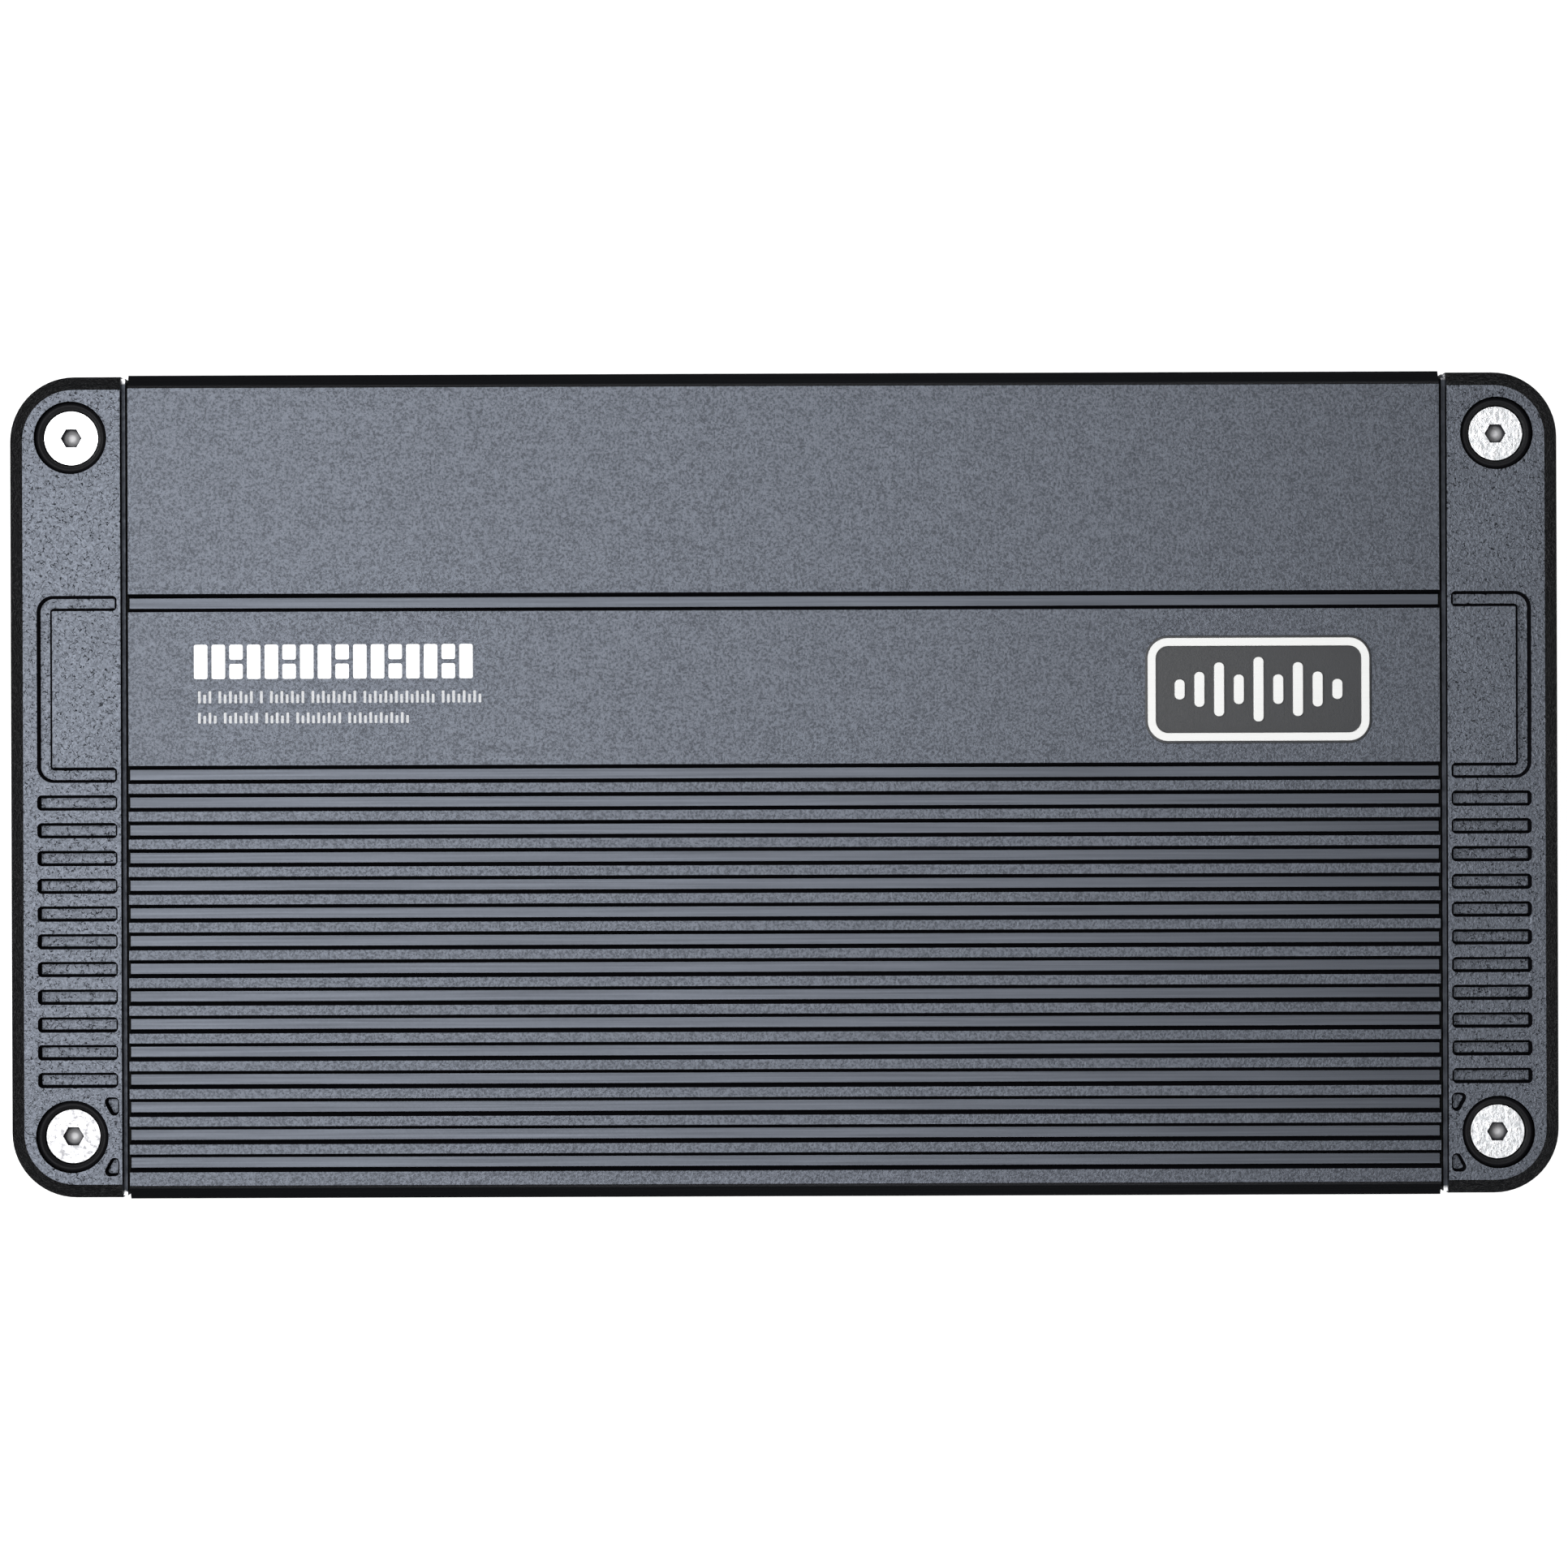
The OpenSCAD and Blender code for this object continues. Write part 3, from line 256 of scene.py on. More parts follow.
def black_anodised():
    """Blasted and black anodised aluminium: pitted on the lands, drawn streaks in the grooves."""
    sh = Shader("black_anodised_aluminium", ANODISED, 0.4, metal=1.0, spec=0.0)
    grain = sh.noise(mm(0.33), detail=3, rough=0.75)
    mottle = sh.noise(mm(1.6), stretch=(2, 1, 1), detail=2)
    streak = sh.noise(mm(0.3), stretch=(90, 1, 1), detail=3, rough=0.6)
    land = sh.remap(sh.axis("Z"), TOP_Z - mm(0.5), TOP_Z - mm(0.15))
    pitted = sh.math("ADD", sh.remap(grain, 0.40, 0.56), sh.remap(mottle, 0.3, 0.7, -0.09, 0.09))
    blasted = sh.blend(pitted, shade(ANODISED, 0.66), shade(ANODISED, 1.32))
    drawn = sh.blend(sh.remap(streak, 0.3, 0.7), shade(ANODISED, 0.8), shade(ANODISED, 1.1))
    # Painted shade: flat black on the walls between the fins, and a deeper black on the shoulders.
    sh.paint_shade(sh.recess_shade_mask(FIN_SHADE_DOWN_TO), sh.blend(land, drawn, blasted), shoulder_shade=0.32)
    rough = sh.remap(sh.math("ADD", grain, streak), 0.7, 1.3, 0.44, 0.37)
    sh.put("Roughness", sh.smoother_shoulders(rough))
    sh.bump(sh.math("MULTIPLY", grain, land), mm(0.06), 1.0)
    sh.bump(streak, mm(0.02), 0.5)
    return sh.material


def cast_coat():
    """Black coat over die-cast metal: a pebbled skin with fine dark worm tracks."""
    sh = Shader("textured_black_coat", ANODISED, 0.42, metal=1.0, spec=0.0)
    pebble = sh.noise(mm(0.38), detail=3, rough=0.7)
    track = sh.math("ABSOLUTE", sh.math("SUBTRACT", sh.noise(mm(0.55), detail=1, rough=0.5), 0.5))
    sparse = sh.remap(sh.noise(mm(0.8), detail=1), 0.46, 0.56)
    worms = sh.math("MULTIPLY", sh.remap(track, 0.03, 0.01), sparse)
    cloud = sh.noise(mm(9), detail=2)
    tone = sh.math("ADD", sh.remap(pebble, 0.36, 0.62), sh.remap(cloud, 0.3, 0.7, -0.12, 0.12))
    skin = sh.blend(tone, shade(ANODISED, 1.05), shade(ANODISED, 1.56))
    coat = sh.blend(worms, skin, shade(ANODISED, 0.2))
    # Painted shade: flat black on the walls of the slots and pockets, and a much deeper black on the shoulders.
    sh.paint_shade(sh.recess_shade_mask(CAP_SHADE_DOWN_TO), coat, shoulder_shade=0.12)
    sh.put("Roughness", sh.smoother_shoulders(sh.remap(pebble, 0.3, 0.7, 0.46, 0.36)))
    sh.bump(pebble, mm(0.08), 1.0)
    sh.bump(sh.math("SUBTRACT", 1.0, worms), mm(0.04), 0.8)
    return sh.material


def black_steel():
    """Satin black paint on pressed steel, with a light orange peel and rubbed edges."""
    base = (0.014, 0.014, 0.015)
    sh = Shader("satin_black_steel", base, 0.42, spec=0.5)
    peel = sh.noise(mm(0.9), detail=2)
    dust = sh.noise(mm(14), detail=4, rough=0.6)
    rubbed = sh.math("MULTIPLY", sh.edges(mm(0.25)), sh.remap(sh.noise(mm(2.5), detail=3), 0.5, 0.7))
    paint = sh.blend(sh.remap(dust, 0.4, 0.75), base, shade(base, 2.2))
    sh.put("Base Color", sh.blend(rubbed, paint, (0.16, 0.155, 0.15)))
    sh.put("Roughness", sh.remap(dust, 0.3, 0.7, 0.36, 0.52))
    sh.bump(peel, mm(0.05), 0.35)
    return sh.material


def punched_panel():
    """Sheet steel under satin black ink, rubbed to bare metal at the two upper outer corners."""
    sh = Shader("punched_steel_panel", ANODISED, 0.45, metal=1.0)
    cloud = sh.noise(mm(0.8), detail=3)
    corner = sh.remap(sh.math("ABSOLUTE", sh.axis("Y")), PANEL_HALF - mm(0.9), PANEL_HALF - mm(0.3))
    upper = sh.remap(sh.axis("Z"), PANEL_TOP - mm(3), PANEL_TOP - mm(1))
    bare = sh.math("MULTIPLY", sh.math("MULTIPLY", corner, upper), sh.remap(cloud, 0.35, 0.5))
    ink = sh.blend(cloud, shade(ANODISED, 0.42), shade(ANODISED, 0.72))
    sh.put("Base Color", sh.blend(bare, ink, (0.60, 0.60, 0.61)))
    sh.put("Roughness", sh.remap(cloud, 0.3, 0.7, 0.52, 0.4))
    sh.bump(sh.noise(mm(0.4), detail=2), mm(0.015), 0.4)
    return sh.material


def radius_from_screw(sh, node):
    """Distance from the nearest of four screws' axes, placed symmetrically about both axes."""
    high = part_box(node)[1]
    fold = sh.node("ShaderNodeVectorMath", operation="ABSOLUTE")
    sh.tree.links.new(sh.object_coords, fold.inputs[0])
    x = sh.math("SUBTRACT", sh.axis("X", fold.outputs[0]), high.x - HEAD_R)
    y = sh.math("SUBTRACT", sh.axis("Y", fold.outputs[0]), high.y - HEAD_R)
    return sh.math("SQRT", sh.math("ADD", sh.math("MULTIPLY", x, x), sh.math("MULTIPLY", y, y)))


def bright_zinc():
    """Bright zinc-plated screws with turned rings and a faint bloom; the lower left one is darker, painted
    shade, and the hex sockets carry a painted highlight and painted shade.
    """
    sh = Shader("bright_zinc_screw", (0.62, 0.62, 0.64), 0.3, metal=1.0)
    radius = radius_from_screw(sh, "corner_screws")
    bloom = sh.noise(mm(0.9), detail=4, rough=0.7)
    spots = sh.remap(sh.noise(mm(0.45), detail=2), 0.60, 0.68)
    rings = sh.math("SINE", sh.math("MULTIPLY", radius, 2 * math.pi / mm(0.22)))
    bright = sh.blend(sh.remap(bloom, 0.35, 0.65), (0.28, 0.29, 0.30), (0.56, 0.56, 0.57))
    # The lower left screw's darker plate is painted shade.
    wear_and_shade = sh.blend(sh.remap(bloom, 0.38, 0.62), (0.10, 0.10, 0.105), (0.26, 0.26, 0.265))
    lower_left_shade = sh.remap(sh.math("ADD", sh.axis("X"), sh.axis("Y")), mm(-120), mm(-150))
    plate = sh.blend(lower_left_shade, bright, wear_and_shade)
    stained = sh.blend(sh.math("MULTIPLY", spots, 0.5), plate, (0.20, 0.20, 0.22))
    head_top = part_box("corner_screws")[1].z
    socket = sh.math("MULTIPLY", sh.remap(radius, SOCKET_R, SOCKET_R - mm(0.05)),
                     sh.remap(sh.axis("Z"), head_top - mm(0.15), head_top - mm(0.4)))
    # Painted highlight at the middle of each hex socket, fading to painted shade at its walls.
    socket_light_and_shade = sh.blend(sh.remap(radius, mm(0.35), mm(1.3)), (0.50, 0.50, 0.51), (0.045, 0.045, 0.05))
    sh.put("Base Color", sh.blend(socket, stained, socket_light_and_shade))
    sh.put("Roughness", sh.math("MAXIMUM", sh.remap(bloom, 0.3, 0.7, 0.40, 0.24),
                                sh.math("MULTIPLY", socket, 0.75)))
    sh.bump(bloom, mm(0.10), 0.6)
    sh.bump(rings, mm(0.004), 0.25)
    return sh.material


def plain_steel(name, light=0.62, rough=0.34):
    """Zinc-plated or plain steel small parts."""
    sh = Shader(name, (light, light, light), rough, metal=1.0)
    cloud = sh.noise(mm(1.2), detail=4, rough=0.6)
    dark = shade((light, light, light * 1.02), 0.7)
    sh.put("Base Color", sh.blend(cloud, dark, shade((1, 1, 1), light * 1.15)))
    sh.put("Roughness", sh.remap(cloud, 0.3, 0.7, rough + 0.1, rough - 0.06))
    sh.bump(sh.noise(mm(0.2), detail=2), mm(0.008), 0.4)
    return sh.material


def black_oxide():
    """Blackened steel screws with oil sheen and rubbed sockets."""
    sh = Shader("black_oxide_steel", (0.03, 0.03, 0.032), 0.36, metal=0.75)
    cloud = sh.noise(mm(0.8), detail=4)
    # Here only real wear: edges rubbed pale.
    wear_and_shade = sh.math("MULTIPLY", sh.edges(mm(0.15)), sh.remap(cloud, 0.4, 0.6))
    sh.put("Base Color", sh.blend(wear_and_shade, (0.022, 0.022, 0.024), (0.20, 0.19, 0.18)))
    sh.put("Roughness", sh.remap(cloud, 0.3, 0.7, 0.45, 0.3))
    sh.bump(cloud, mm(0.01), 0.4)
    return sh.material


def moulded_plastic(name, base, rough=0.5, grain=0.25, depth=0.02, spec=0.5):
    """Moulded plastic: spark-eroded grain, slow gloss variation and slightly polished edges."""
    sh = Shader(name, base, rough, spec=spec)
    erosion = sh.noise(mm(grain), detail=2, rough=0.6)
    flow = sh.noise(mm(6), stretch=(1, 1, 2), detail=2)
    polished = sh.edges(mm(0.2))
    tone = sh.blend(flow, shade(base, 0.8), shade(base, 1.2))
    sh.put("Base Color", sh.blend(sh.math("MULTIPLY", polished, 0.4), tone, shade(base, 1.5)))
    gloss = sh.remap(erosion, 0.3, 0.7, rough + 0.08, rough - 0.06)
    sh.put("Roughness", sh.math("SUBTRACT", gloss, sh.math("MULTIPLY", polished, 0.12)))
    sh.bump(erosion, mm(depth), 0.5)
    return sh.material


def foam():
    """Closed-cell foam gasket: open skin cells on its cut edges."""
    sh = Shader("closed_cell_foam", (0.008, 0.008, 0.008), 0.95, spec=0.2)
    cells = sh.cells(mm(0.25), feature="SMOOTH_F1")
    sh.put("Base Color", sh.blend(cells, (0.004, 0.004, 0.004), (0.014, 0.014, 0.014)))
    sh.bump(cells, mm(0.1), 0.8)
    return sh.material


def turned_brass(name, bright, dark, rough=0.28):
    """Machined or plated brass with tool marks and slight tarnish."""
    sh = Shader(name, bright, rough, metal=1.0)
    tarnish = sh.noise(mm(1.6), detail=4, rough=0.6)
    tool = sh.noise(mm(0.12), stretch=(1, 12, 12), detail=2)
    sh.put("Base Color", sh.blend(sh.remap(tarnish, 0.35, 0.7), bright, dark))
    sh.put("Roughness", sh.remap(tarnish, 0.3, 0.7, rough - 0.04, rough + 0.14))
    sh.bump(tool, mm(0.006), 0.4)
    return sh.material


def badge_silver():
    """Satin silver-white badge face with a very fine brushed grain."""
    sh = Shader("badge_silver", (0.78, 0.78, 0.77), 0.42, metal=0.0, spec=0.5)
    brush = sh.noise(mm(0.08), stretch=(40, 1, 1), detail=2)
    sh.put("Base Color", sh.blend(brush, (0.385, 0.39, 0.385), (0.47, 0.47, 0.465)))
    sh.put("Roughness", sh.remap(brush, 0.3, 0.7, 0.38, 0.5))
    sh.bump(brush, mm(0.006), 0.3)
    return sh.material


def circuit_board():
    """Green solder mask over copper: tracks, vias and a glass weave."""
    sh = Shader("circuit_board", (0.01, 0.09, 0.035), 0.35, spec=0.5)
    tracks = sh.remap(sh.cells(mm(3.2), feature="DISTANCE_TO_EDGE"), 0.05, 0.09)
    vias = sh.remap(sh.cells(mm(2.1)), 0.17, 0.14)
    weave = sh.noise(mm(0.3), stretch=(1, 1, 3), detail=1)
    mask = sh.blend(tracks, (0.014, 0.13, 0.05), (0.006, 0.07, 0.028))
    sh.put("Base Color", sh.blend(vias, mask, (0.45, 0.44, 0.40)))
    sh.put("Roughness", sh.remap(weave, 0.3, 0.7, 0.28, 0.42))
    sh.bump(tracks, mm(0.05), -0.4)
    return sh.material


def package_black():
    """Epoxy packages of transistors, chips and headers."""
    sh = Shader("epoxy_package", (0.02, 0.02, 0.021), 0.55, spec=0.4)
    grain = sh.noise(mm(0.18), detail=2)
    sh.put("Base Color", sh.blend(grain, (0.012, 0.012, 0.012), (0.03, 0.03, 0.031)))
    sh.put("Roughness", sh.remap(grain, 0.3, 0.7, 0.62, 0.5))
    sh.bump(grain, mm(0.015), 0.5)
    return sh.material


def silicone_pad():
    """Soft grey thermal pad, slightly blotched, with a woven glass support showing through."""
    sh = Shader("silicone_pad", (0.42, 0.45, 0.48), 0.7, spec=0.3)
    warp = sh.noise(mm(0.25), stretch=(6, 1, 1))
    weave = sh.math("MULTIPLY", warp, sh.noise(mm(0.25), stretch=(1, 1, 6)))
    sh.put("Base Color", sh.blend(weave, (0.34, 0.37, 0.40), (0.55, 0.58, 0.6)))
    sh.bump(weave, mm(0.03), 0.4)
    return sh.material


def extruded_aluminium():
    """Mill-finish aluminium bar with die lines."""
    sh = Shader("mill_aluminium", (0.7, 0.7, 0.71), 0.35, metal=1.0)
    lines = sh.noise(mm(0.2), stretch=(120, 1, 1), detail=3)
    sh.put("Base Color", sh.blend(lines, (0.55, 0.55, 0.56), (0.78, 0.78, 0.79)))
    sh.put("Roughness", sh.remap(lines, 0.3, 0.7, 0.42, 0.28))
    sh.bump(lines, mm(0.012), 0.4)
    return sh.material


def coated_core(name, dark, light):
    """Powder-coated toroid core, dimpled over the sintered or pressed metal."""
    sh = Shader(name, light, 0.5, spec=0.4)
    dimples = sh.noise(mm(0.7), detail=3)
    sh.put("Base Color", sh.blend(dimples, dark, light))
    sh.put("Roughness", sh.remap(dimples, 0.3, 0.7, 0.4, 0.6))
    sh.bump(dimples, mm(0.08), 0.5)
    return sh.material


STRANDS = 120                                   # turns of wire that show round a toroid


def enamelled_wire(node):
    """Enamelled copper: strands that run round the ring's section, as a fan about its axis, with painted shade
    in the grooves between them.
    """
    sh = Shader("enamelled_" + node, (0.55, 0.20, 0.07), 0.28, metal=0.85)
    centre = middle(node)
    x = sh.math("SUBTRACT", sh.axis("X"), centre.x)
    y = sh.math("SUBTRACT", sh.axis("Y"), centre.y)
    fan = sh.math("MULTIPLY", sh.math("ARCTAN2", y, x), STRANDS / 2)
    strands = sh.math("ABSOLUTE", sh.math("SINE", fan))
    # Painted shade: the colour darkens in the grooves between the turns.
    sh.put("Base Color", sh.blend(strands, (0.20, 0.055, 0.015), (0.72, 0.27, 0.10)))
    sh.put("Roughness", sh.remap(sh.noise(mm(0.8), detail=2), 0.3, 0.7, 0.22, 0.36))
    sh.bump(strands, mm(0.4), 0.8)
    return sh.material


def capacitor_can():
    """Shrink-sleeved cans: printed blue sleeve, bare scored aluminium on top."""
    sh = Shader("capacitor_can", (0.012, 0.014, 0.05), 0.3, spec=0.5)
    top = sh.remap(sh.facing("Z"), 0.9, 0.97)
    wrinkle = sh.noise(mm(2.5), stretch=(1, 1, 4), detail=2)
    sleeve = sh.blend(wrinkle, (0.008, 0.010, 0.035), (0.016, 0.02, 0.075))
    sh.put("Base Color", sh.blend(top, sleeve, (0.66, 0.66, 0.67)))
    sh.put("Metallic", top)
    sh.put("Roughness", sh.remap(wrinkle, 0.3, 0.7, 0.22, 0.38))
    sh.bump(wrinkle, mm(0.08), 0.3)
    return sh.material


def dipped_film():
    """Red dipped epoxy, glossy and slightly lumpy."""
    sh = Shader("dipped_film", (0.38, 0.04, 0.02), 0.22, spec=0.5)
    lump = sh.noise(mm(3), detail=2)
    sh.put("Base Color", sh.blend(lump, (0.30, 0.028, 0.015), (0.46, 0.055, 0.03)))
    sh.put("Roughness", sh.remap(lump, 0.3, 0.7, 0.16, 0.3))
    sh.bump(lump, mm(0.3), 0.4)
    return sh.material


def clear_lens(name, colour):
    """Tinted clear lens with faint flow lines."""
    sh = Shader(name, colour, 0.12, spec=0.6)
    flow = sh.noise(mm(0.8), detail=2)
    sh.put("Base Color", sh.blend(flow, shade(colour, 0.85), colour))
    sh.put("Roughness", sh.remap(flow, 0.3, 0.7, 0.08, 0.16))
    sh.put("Transmission Weight", 0.55)
    sh.bump(flow, mm(0.02), 0.2)
    return sh.material


def fuse_plastic():
    """Tinted polycarbonate fuse body, glossy on its faces and frosted in its recesses."""
    sh = Shader("fuse_plastic", (0.02, 0.30, 0.07), 0.25, spec=0.5)
    flow = sh.noise(mm(2.2), stretch=(3, 1, 1), detail=2)
    sh.put("Base Color", sh.blend(flow, (0.017, 0.25, 0.058), (0.024, 0.32, 0.075)))
    sh.put("Roughness", sh.remap(flow, 0.3, 0.7, 0.18, 0.34))
    sh.put("Transmission Weight", 0.25)
    sh.bump(sh.noise(mm(0.3), detail=2), mm(0.008), 0.4)
    return sh.material


def screen_ink(name, colour):
    """Screen-printed ink: matt, with pinholes and a slightly ragged film."""
    sh = Shader(name, colour, 0.6, spec=0.4)
    film = sh.noise(mm(0.22), detail=3, rough=0.7)
    sh.put("Base Color", sh.blend(sh.remap(film, 0.3, 0.5), shade(colour, 0.72), colour))
    sh.put("Roughness", sh.remap(film, 0.3, 0.7, 0.7, 0.5))
    sh.bump(film, mm(0.01), 0.5)
    return sh.material


# ---------------------------------------------------------------- edges of the CAD parts

FLAT_DEG = 0.4                                  # faces that meet at less are joined
SMOOTH_DEG = 32                                 # edges that bend less are shaded smooth
ROUNDED_DEG = 35                                # edges that bend more are rounded


def smooth_by_angle(limit_deg):
    """A node group that shades smooth and keeps edges sharper than the limit crisp."""
    group = bpy.data.node_groups.new("smooth_by_angle", "GeometryNodeTree")
    group.interface.new_socket("Geometry", in_out="INPUT", socket_type="NodeSocketGeometry")
    group.interface.new_socket("Geometry", in_out="OUTPUT", socket_type="NodeSocketGeometry")
    source = group.nodes.new("NodeGroupInput")
    result = group.nodes.new("NodeGroupOutput")
    faces = group.nodes.new("GeometryNodeSetShadeSmooth")
    faces.domain = "FACE"
    creases = group.nodes.new("GeometryNodeSetShadeSmooth")
    creases.domain = "EDGE"
    creases.inputs["Shade Smooth"].default_value = False
    angle = group.nodes.new("GeometryNodeInputMeshEdgeAngle")
    sharp = group.nodes.new("FunctionNodeCompare")
    sharp.operation = "GREATER_THAN"
    sharp.inputs[1].default_value = math.radians(limit_deg)
    wire(group, (source.outputs[0], faces.inputs["Geometry"]),
         (faces.outputs["Geometry"], creases.inputs["Geometry"]),
         (angle.outputs["Unsigned Angle"], sharp.inputs[0]),
         (sharp.outputs[0], creases.inputs["Selection"]),
         (creases.outputs["Geometry"], result.inputs[0]))
    return group


SMOOTHING = smooth_by_angle(SMOOTH_DEG)


def join_flat_faces(piece):
    flat = piece.modifiers.new("flatten", "DECIMATE")
    flat.decimate_type = "DISSOLVE"
    flat.angle_limit = math.radians(FLAT_DEG)


def round_edges(piece, width, segments, tight):
    """Rounds a piece's edges with modifiers, so that its own mesh stays as it is.

    Faces with holes close together (tight) are joined only after their edges are rounded.
    """
    piece.modifiers.new("weld", "WELD").merge_threshold = mm(0.001)
    if not tight:
        join_flat_faces(piece)
    if width:
        bevel = piece.modifiers.new("edges", "BEVEL")
        bevel.width = width
        bevel.segments = segments
        bevel.limit_method = "ANGLE"
        bevel.angle_limit = math.radians(ROUNDED_DEG)
        bevel.miter_outer = "MITER_ARC"
    if tight:
        join_flat_faces(piece)
    piece.modifiers.new("smooth", "NODES").node_group = SMOOTHING
    normals = piece.modifiers.new("normals", "WEIGHTED_NORMAL")
    normals.keep_sharp = True
    normals.weight = 60


def dress(material, width, *names, segments=2, tight=False):
    """Gives CAD nodes their material and edge rounding."""
    for name in names:
        piece = nodes[name]
        piece.data.materials.clear()
        piece.data.materials.append(material)
        round_edges(piece, width, segments, tight)


def dress_housing():
    dress(black_anodised(), mm(0.05), "heatsink")
    dress(cast_coat(), mm(0.08), "signal_end_cap", "power_end_cap")
    dress(black_steel(), mm(0.12), "base_plate")
    dress(punched_panel(), mm(0.06), "signal_panel", "power_panel")
    dress(foam(), 0, "panel_gaskets")
    dress(bright_zinc(), mm(0.12), "corner_screws", segments=3, tight=True)
    dress(black_oxide(), mm(0.15), "end_cap_screws", "base_plate_screws")
    dress(moulded_plastic("black_nylon", (0.012, 0.012, 0.013), 0.42), mm(0.1), *KNOBS)
    dress(moulded_plastic("matt_black_nylon", SHADE_AND_NYLON_BLACK, 0.6, spec=0.1), mm(0.1),
          "corner_bushings")
    dress(turned_brass("insert_brass", (0.74, 0.52, 0.22), (0.50, 0.33, 0.14)), mm(0.1),
          "corner_inserts", "power_terminal_clamps", "speaker_terminal_clamps")
    dress(moulded_plastic("badge_black", (0.006, 0.007, 0.009), 0.36, spec=0.3), mm(0.1), "badge_base")
    dress(badge_silver(), mm(0.09), "badge_face")


def dress_electronics():
    dress(circuit_board(), mm(0.05), "main_board", "control_board")
    steel = plain_steel("plated_steel", 0.66)
    dress(steel, mm(0.1), "board_screws", "clamp_bar_screws")
    dress(steel, mm(0.05), *TERMINAL_SCREWS, tight=True)
    dress(package_black(), mm(0.08), "board_link_header", "transistors", "control_chips")
    dress(silicone_pad(), 0, "thermal_pads")
    dress(extruded_aluminium(), mm(0.2), "clamp_bars")
    dress(coated_core("ferrite_core", (0.03, 0.07, 0.045), (0.06, 0.13, 0.08)), mm(0.8),
          "transformer_core")
    dress(coated_core("iron_powder_core", (0.42, 0.34, 0.05), (0.62, 0.54, 0.09)), mm(0.6),
          "output_inductor_core")
    for winding in ("transformer_winding", "output_inductor_winding"):
        dress(enamelled_wire(winding), mm(0.6), winding)
    dress(capacitor_can(), mm(0.12), "electrolytic_capacitors")
    dress(dipped_film(), mm(0.8), "film_capacitors", segments=3)


def dress_connectors():
    connector = moulded_plastic("connector_nylon", (0.014, 0.014, 0.015), 0.45, grain=0.3, depth=0.03)
    dress(connector, mm(0.15), "rca_housings", "switch_bodies", "remote_port", "fuse_holder")
    dress(connector, mm(0.15), "speaker_terminal_block")
    dress(connector, 0, "power_terminal_block")
    gold = turned_brass("gold_flash", (0.90, 0.66, 0.26), (0.70, 0.47, 0.16), 0.2)
    dress(gold, mm(0.12), "rca_sleeves")
    dress(gold, mm(0.03), "remote_port_contacts")
    dress(moulded_plastic("white_insulator", (0.72, 0.72, 0.69), 0.4), mm(0.1), "rca_inserts_white")
    dress(moulded_plastic("red_insulator", (0.45, 0.012, 0.01), 0.4), mm(0.1), "rca_inserts_red")
    dress(moulded_plastic("blue_phenolic", (0.03, 0.08, 0.22), 0.5), mm(0.2), "potentiometers")
    dress(moulded_plastic("light_grey_acetal", (0.55, 0.55, 0.54), 0.4), mm(0.15),
          "phase_switch_slider", "level_switch_slider")
    dress(clear_lens("blue_lens", (0.05, 0.22, 0.85)), 0, "power_led")
    dress(clear_lens("red_lens", (0.8, 0.03, 0.015)), 0, "protect_led")
    dress(plain_steel("tinned_bronze", 0.6, 0.3), mm(0.06), "fuse_contacts")
    dress(fuse_plastic(), mm(0.15), "upper_fuse", "lower_fuse", segments=3)
    dress(plain_steel("zinc_blade", 0.68, 0.4), mm(0.06), "upper_fuse_blades", "lower_fuse_blades")


# ---------------------------------------------------------------- printing and other thin pieces


def rounded_outline(cx, cy, w, h, r, steps=4):
    """The outline of a rectangle with round corners, counterclockwise."""
    points = []
    for corner, (sx, sy) in enumerate(((1, 1), (-1, 1), (-1, -1), (1, -1))):
        for i in range(steps + 1):
            a = math.pi / 2 * (corner + i / steps)
            points.append((cx + sx * (w / 2 - r) + r * math.cos(a),
                           cy + sy * (h / 2 - r) + r * math.sin(a)))
    return points


def turned_outline(outline, cx, cy, angle):
    """An outline turned about a centre, the angle in radians."""
    c, s = math.cos(angle), math.sin(angle)
    return [(cx + (x - cx) * c - (y - cy) * s, cy + (x - cx) * s + (y - cy) * c) for x, y in outline]


def add_prism(bm, outline, place, depth):
    """A closed slab: the outline in a plane, thickened outwards. place(u, v, d) gives its points."""
    bottom = [bm.verts.new(place(u, v, 0)) for u, v in outline]
    top = [bm.verts.new(place(u, v, depth)) for u, v in outline]
    bm.faces.new(bottom)
    bm.faces.new(top)
    for i in range(len(outline)):
        j = (i + 1) % len(outline)
        bm.faces.new((bottom[i], bottom[j], top[j], top[i]))


def add_ring(bm, outer, inner, place, depth):
    """A closed frame between two outlines with the same number of points."""
    loops = [[bm.verts.new(place(u, v, d)) for u, v in line]
             for line in (outer, inner) for d in (0, depth)]
    outer_low, outer_high, inner_low, inner_high = loops
    for a, b in ((outer_low, outer_high), (outer_high, inner_high), (inner_high, inner_low),
                 (inner_low, outer_low)):
        for i in range(len(a)):
            j = (i + 1) % len(a)
            bm.faces.new((a[i], a[j], b[j], b[i]))


def finish_mesh(name, bm, material, body):
    """Turns a bmesh into a piece that rides on a body."""
    bmesh.ops.recalc_face_normals(bm, faces=bm.faces)
    mesh = bpy.data.meshes.new(name)
    bm.to_mesh(mesh)
    bm.free()
    mesh.materials.append(material)
    piece = bpy.data.objects.new(name, mesh)
    bpy.context.scene.collection.objects.link(piece)
    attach(piece, body)


INK_DEPTH = mm(0.03)


# These three turn a place on a printed face and a height above it into a point of the row frame.
def on_top(u, v, d):
    return (u, v, TOP_Z + d)


def on_signal_panel(u, v, d):
    return (SIGNAL_X - d, u, v)


def on_power_block(u, v, d):
    return (BLOCK_X + d, u, v)


WHITE_INK = screen_ink("white_ink", (0.62, 0.62, 0.62))
GREY_INK = screen_ink("grey_ink", (0.34, 0.345, 0.355))


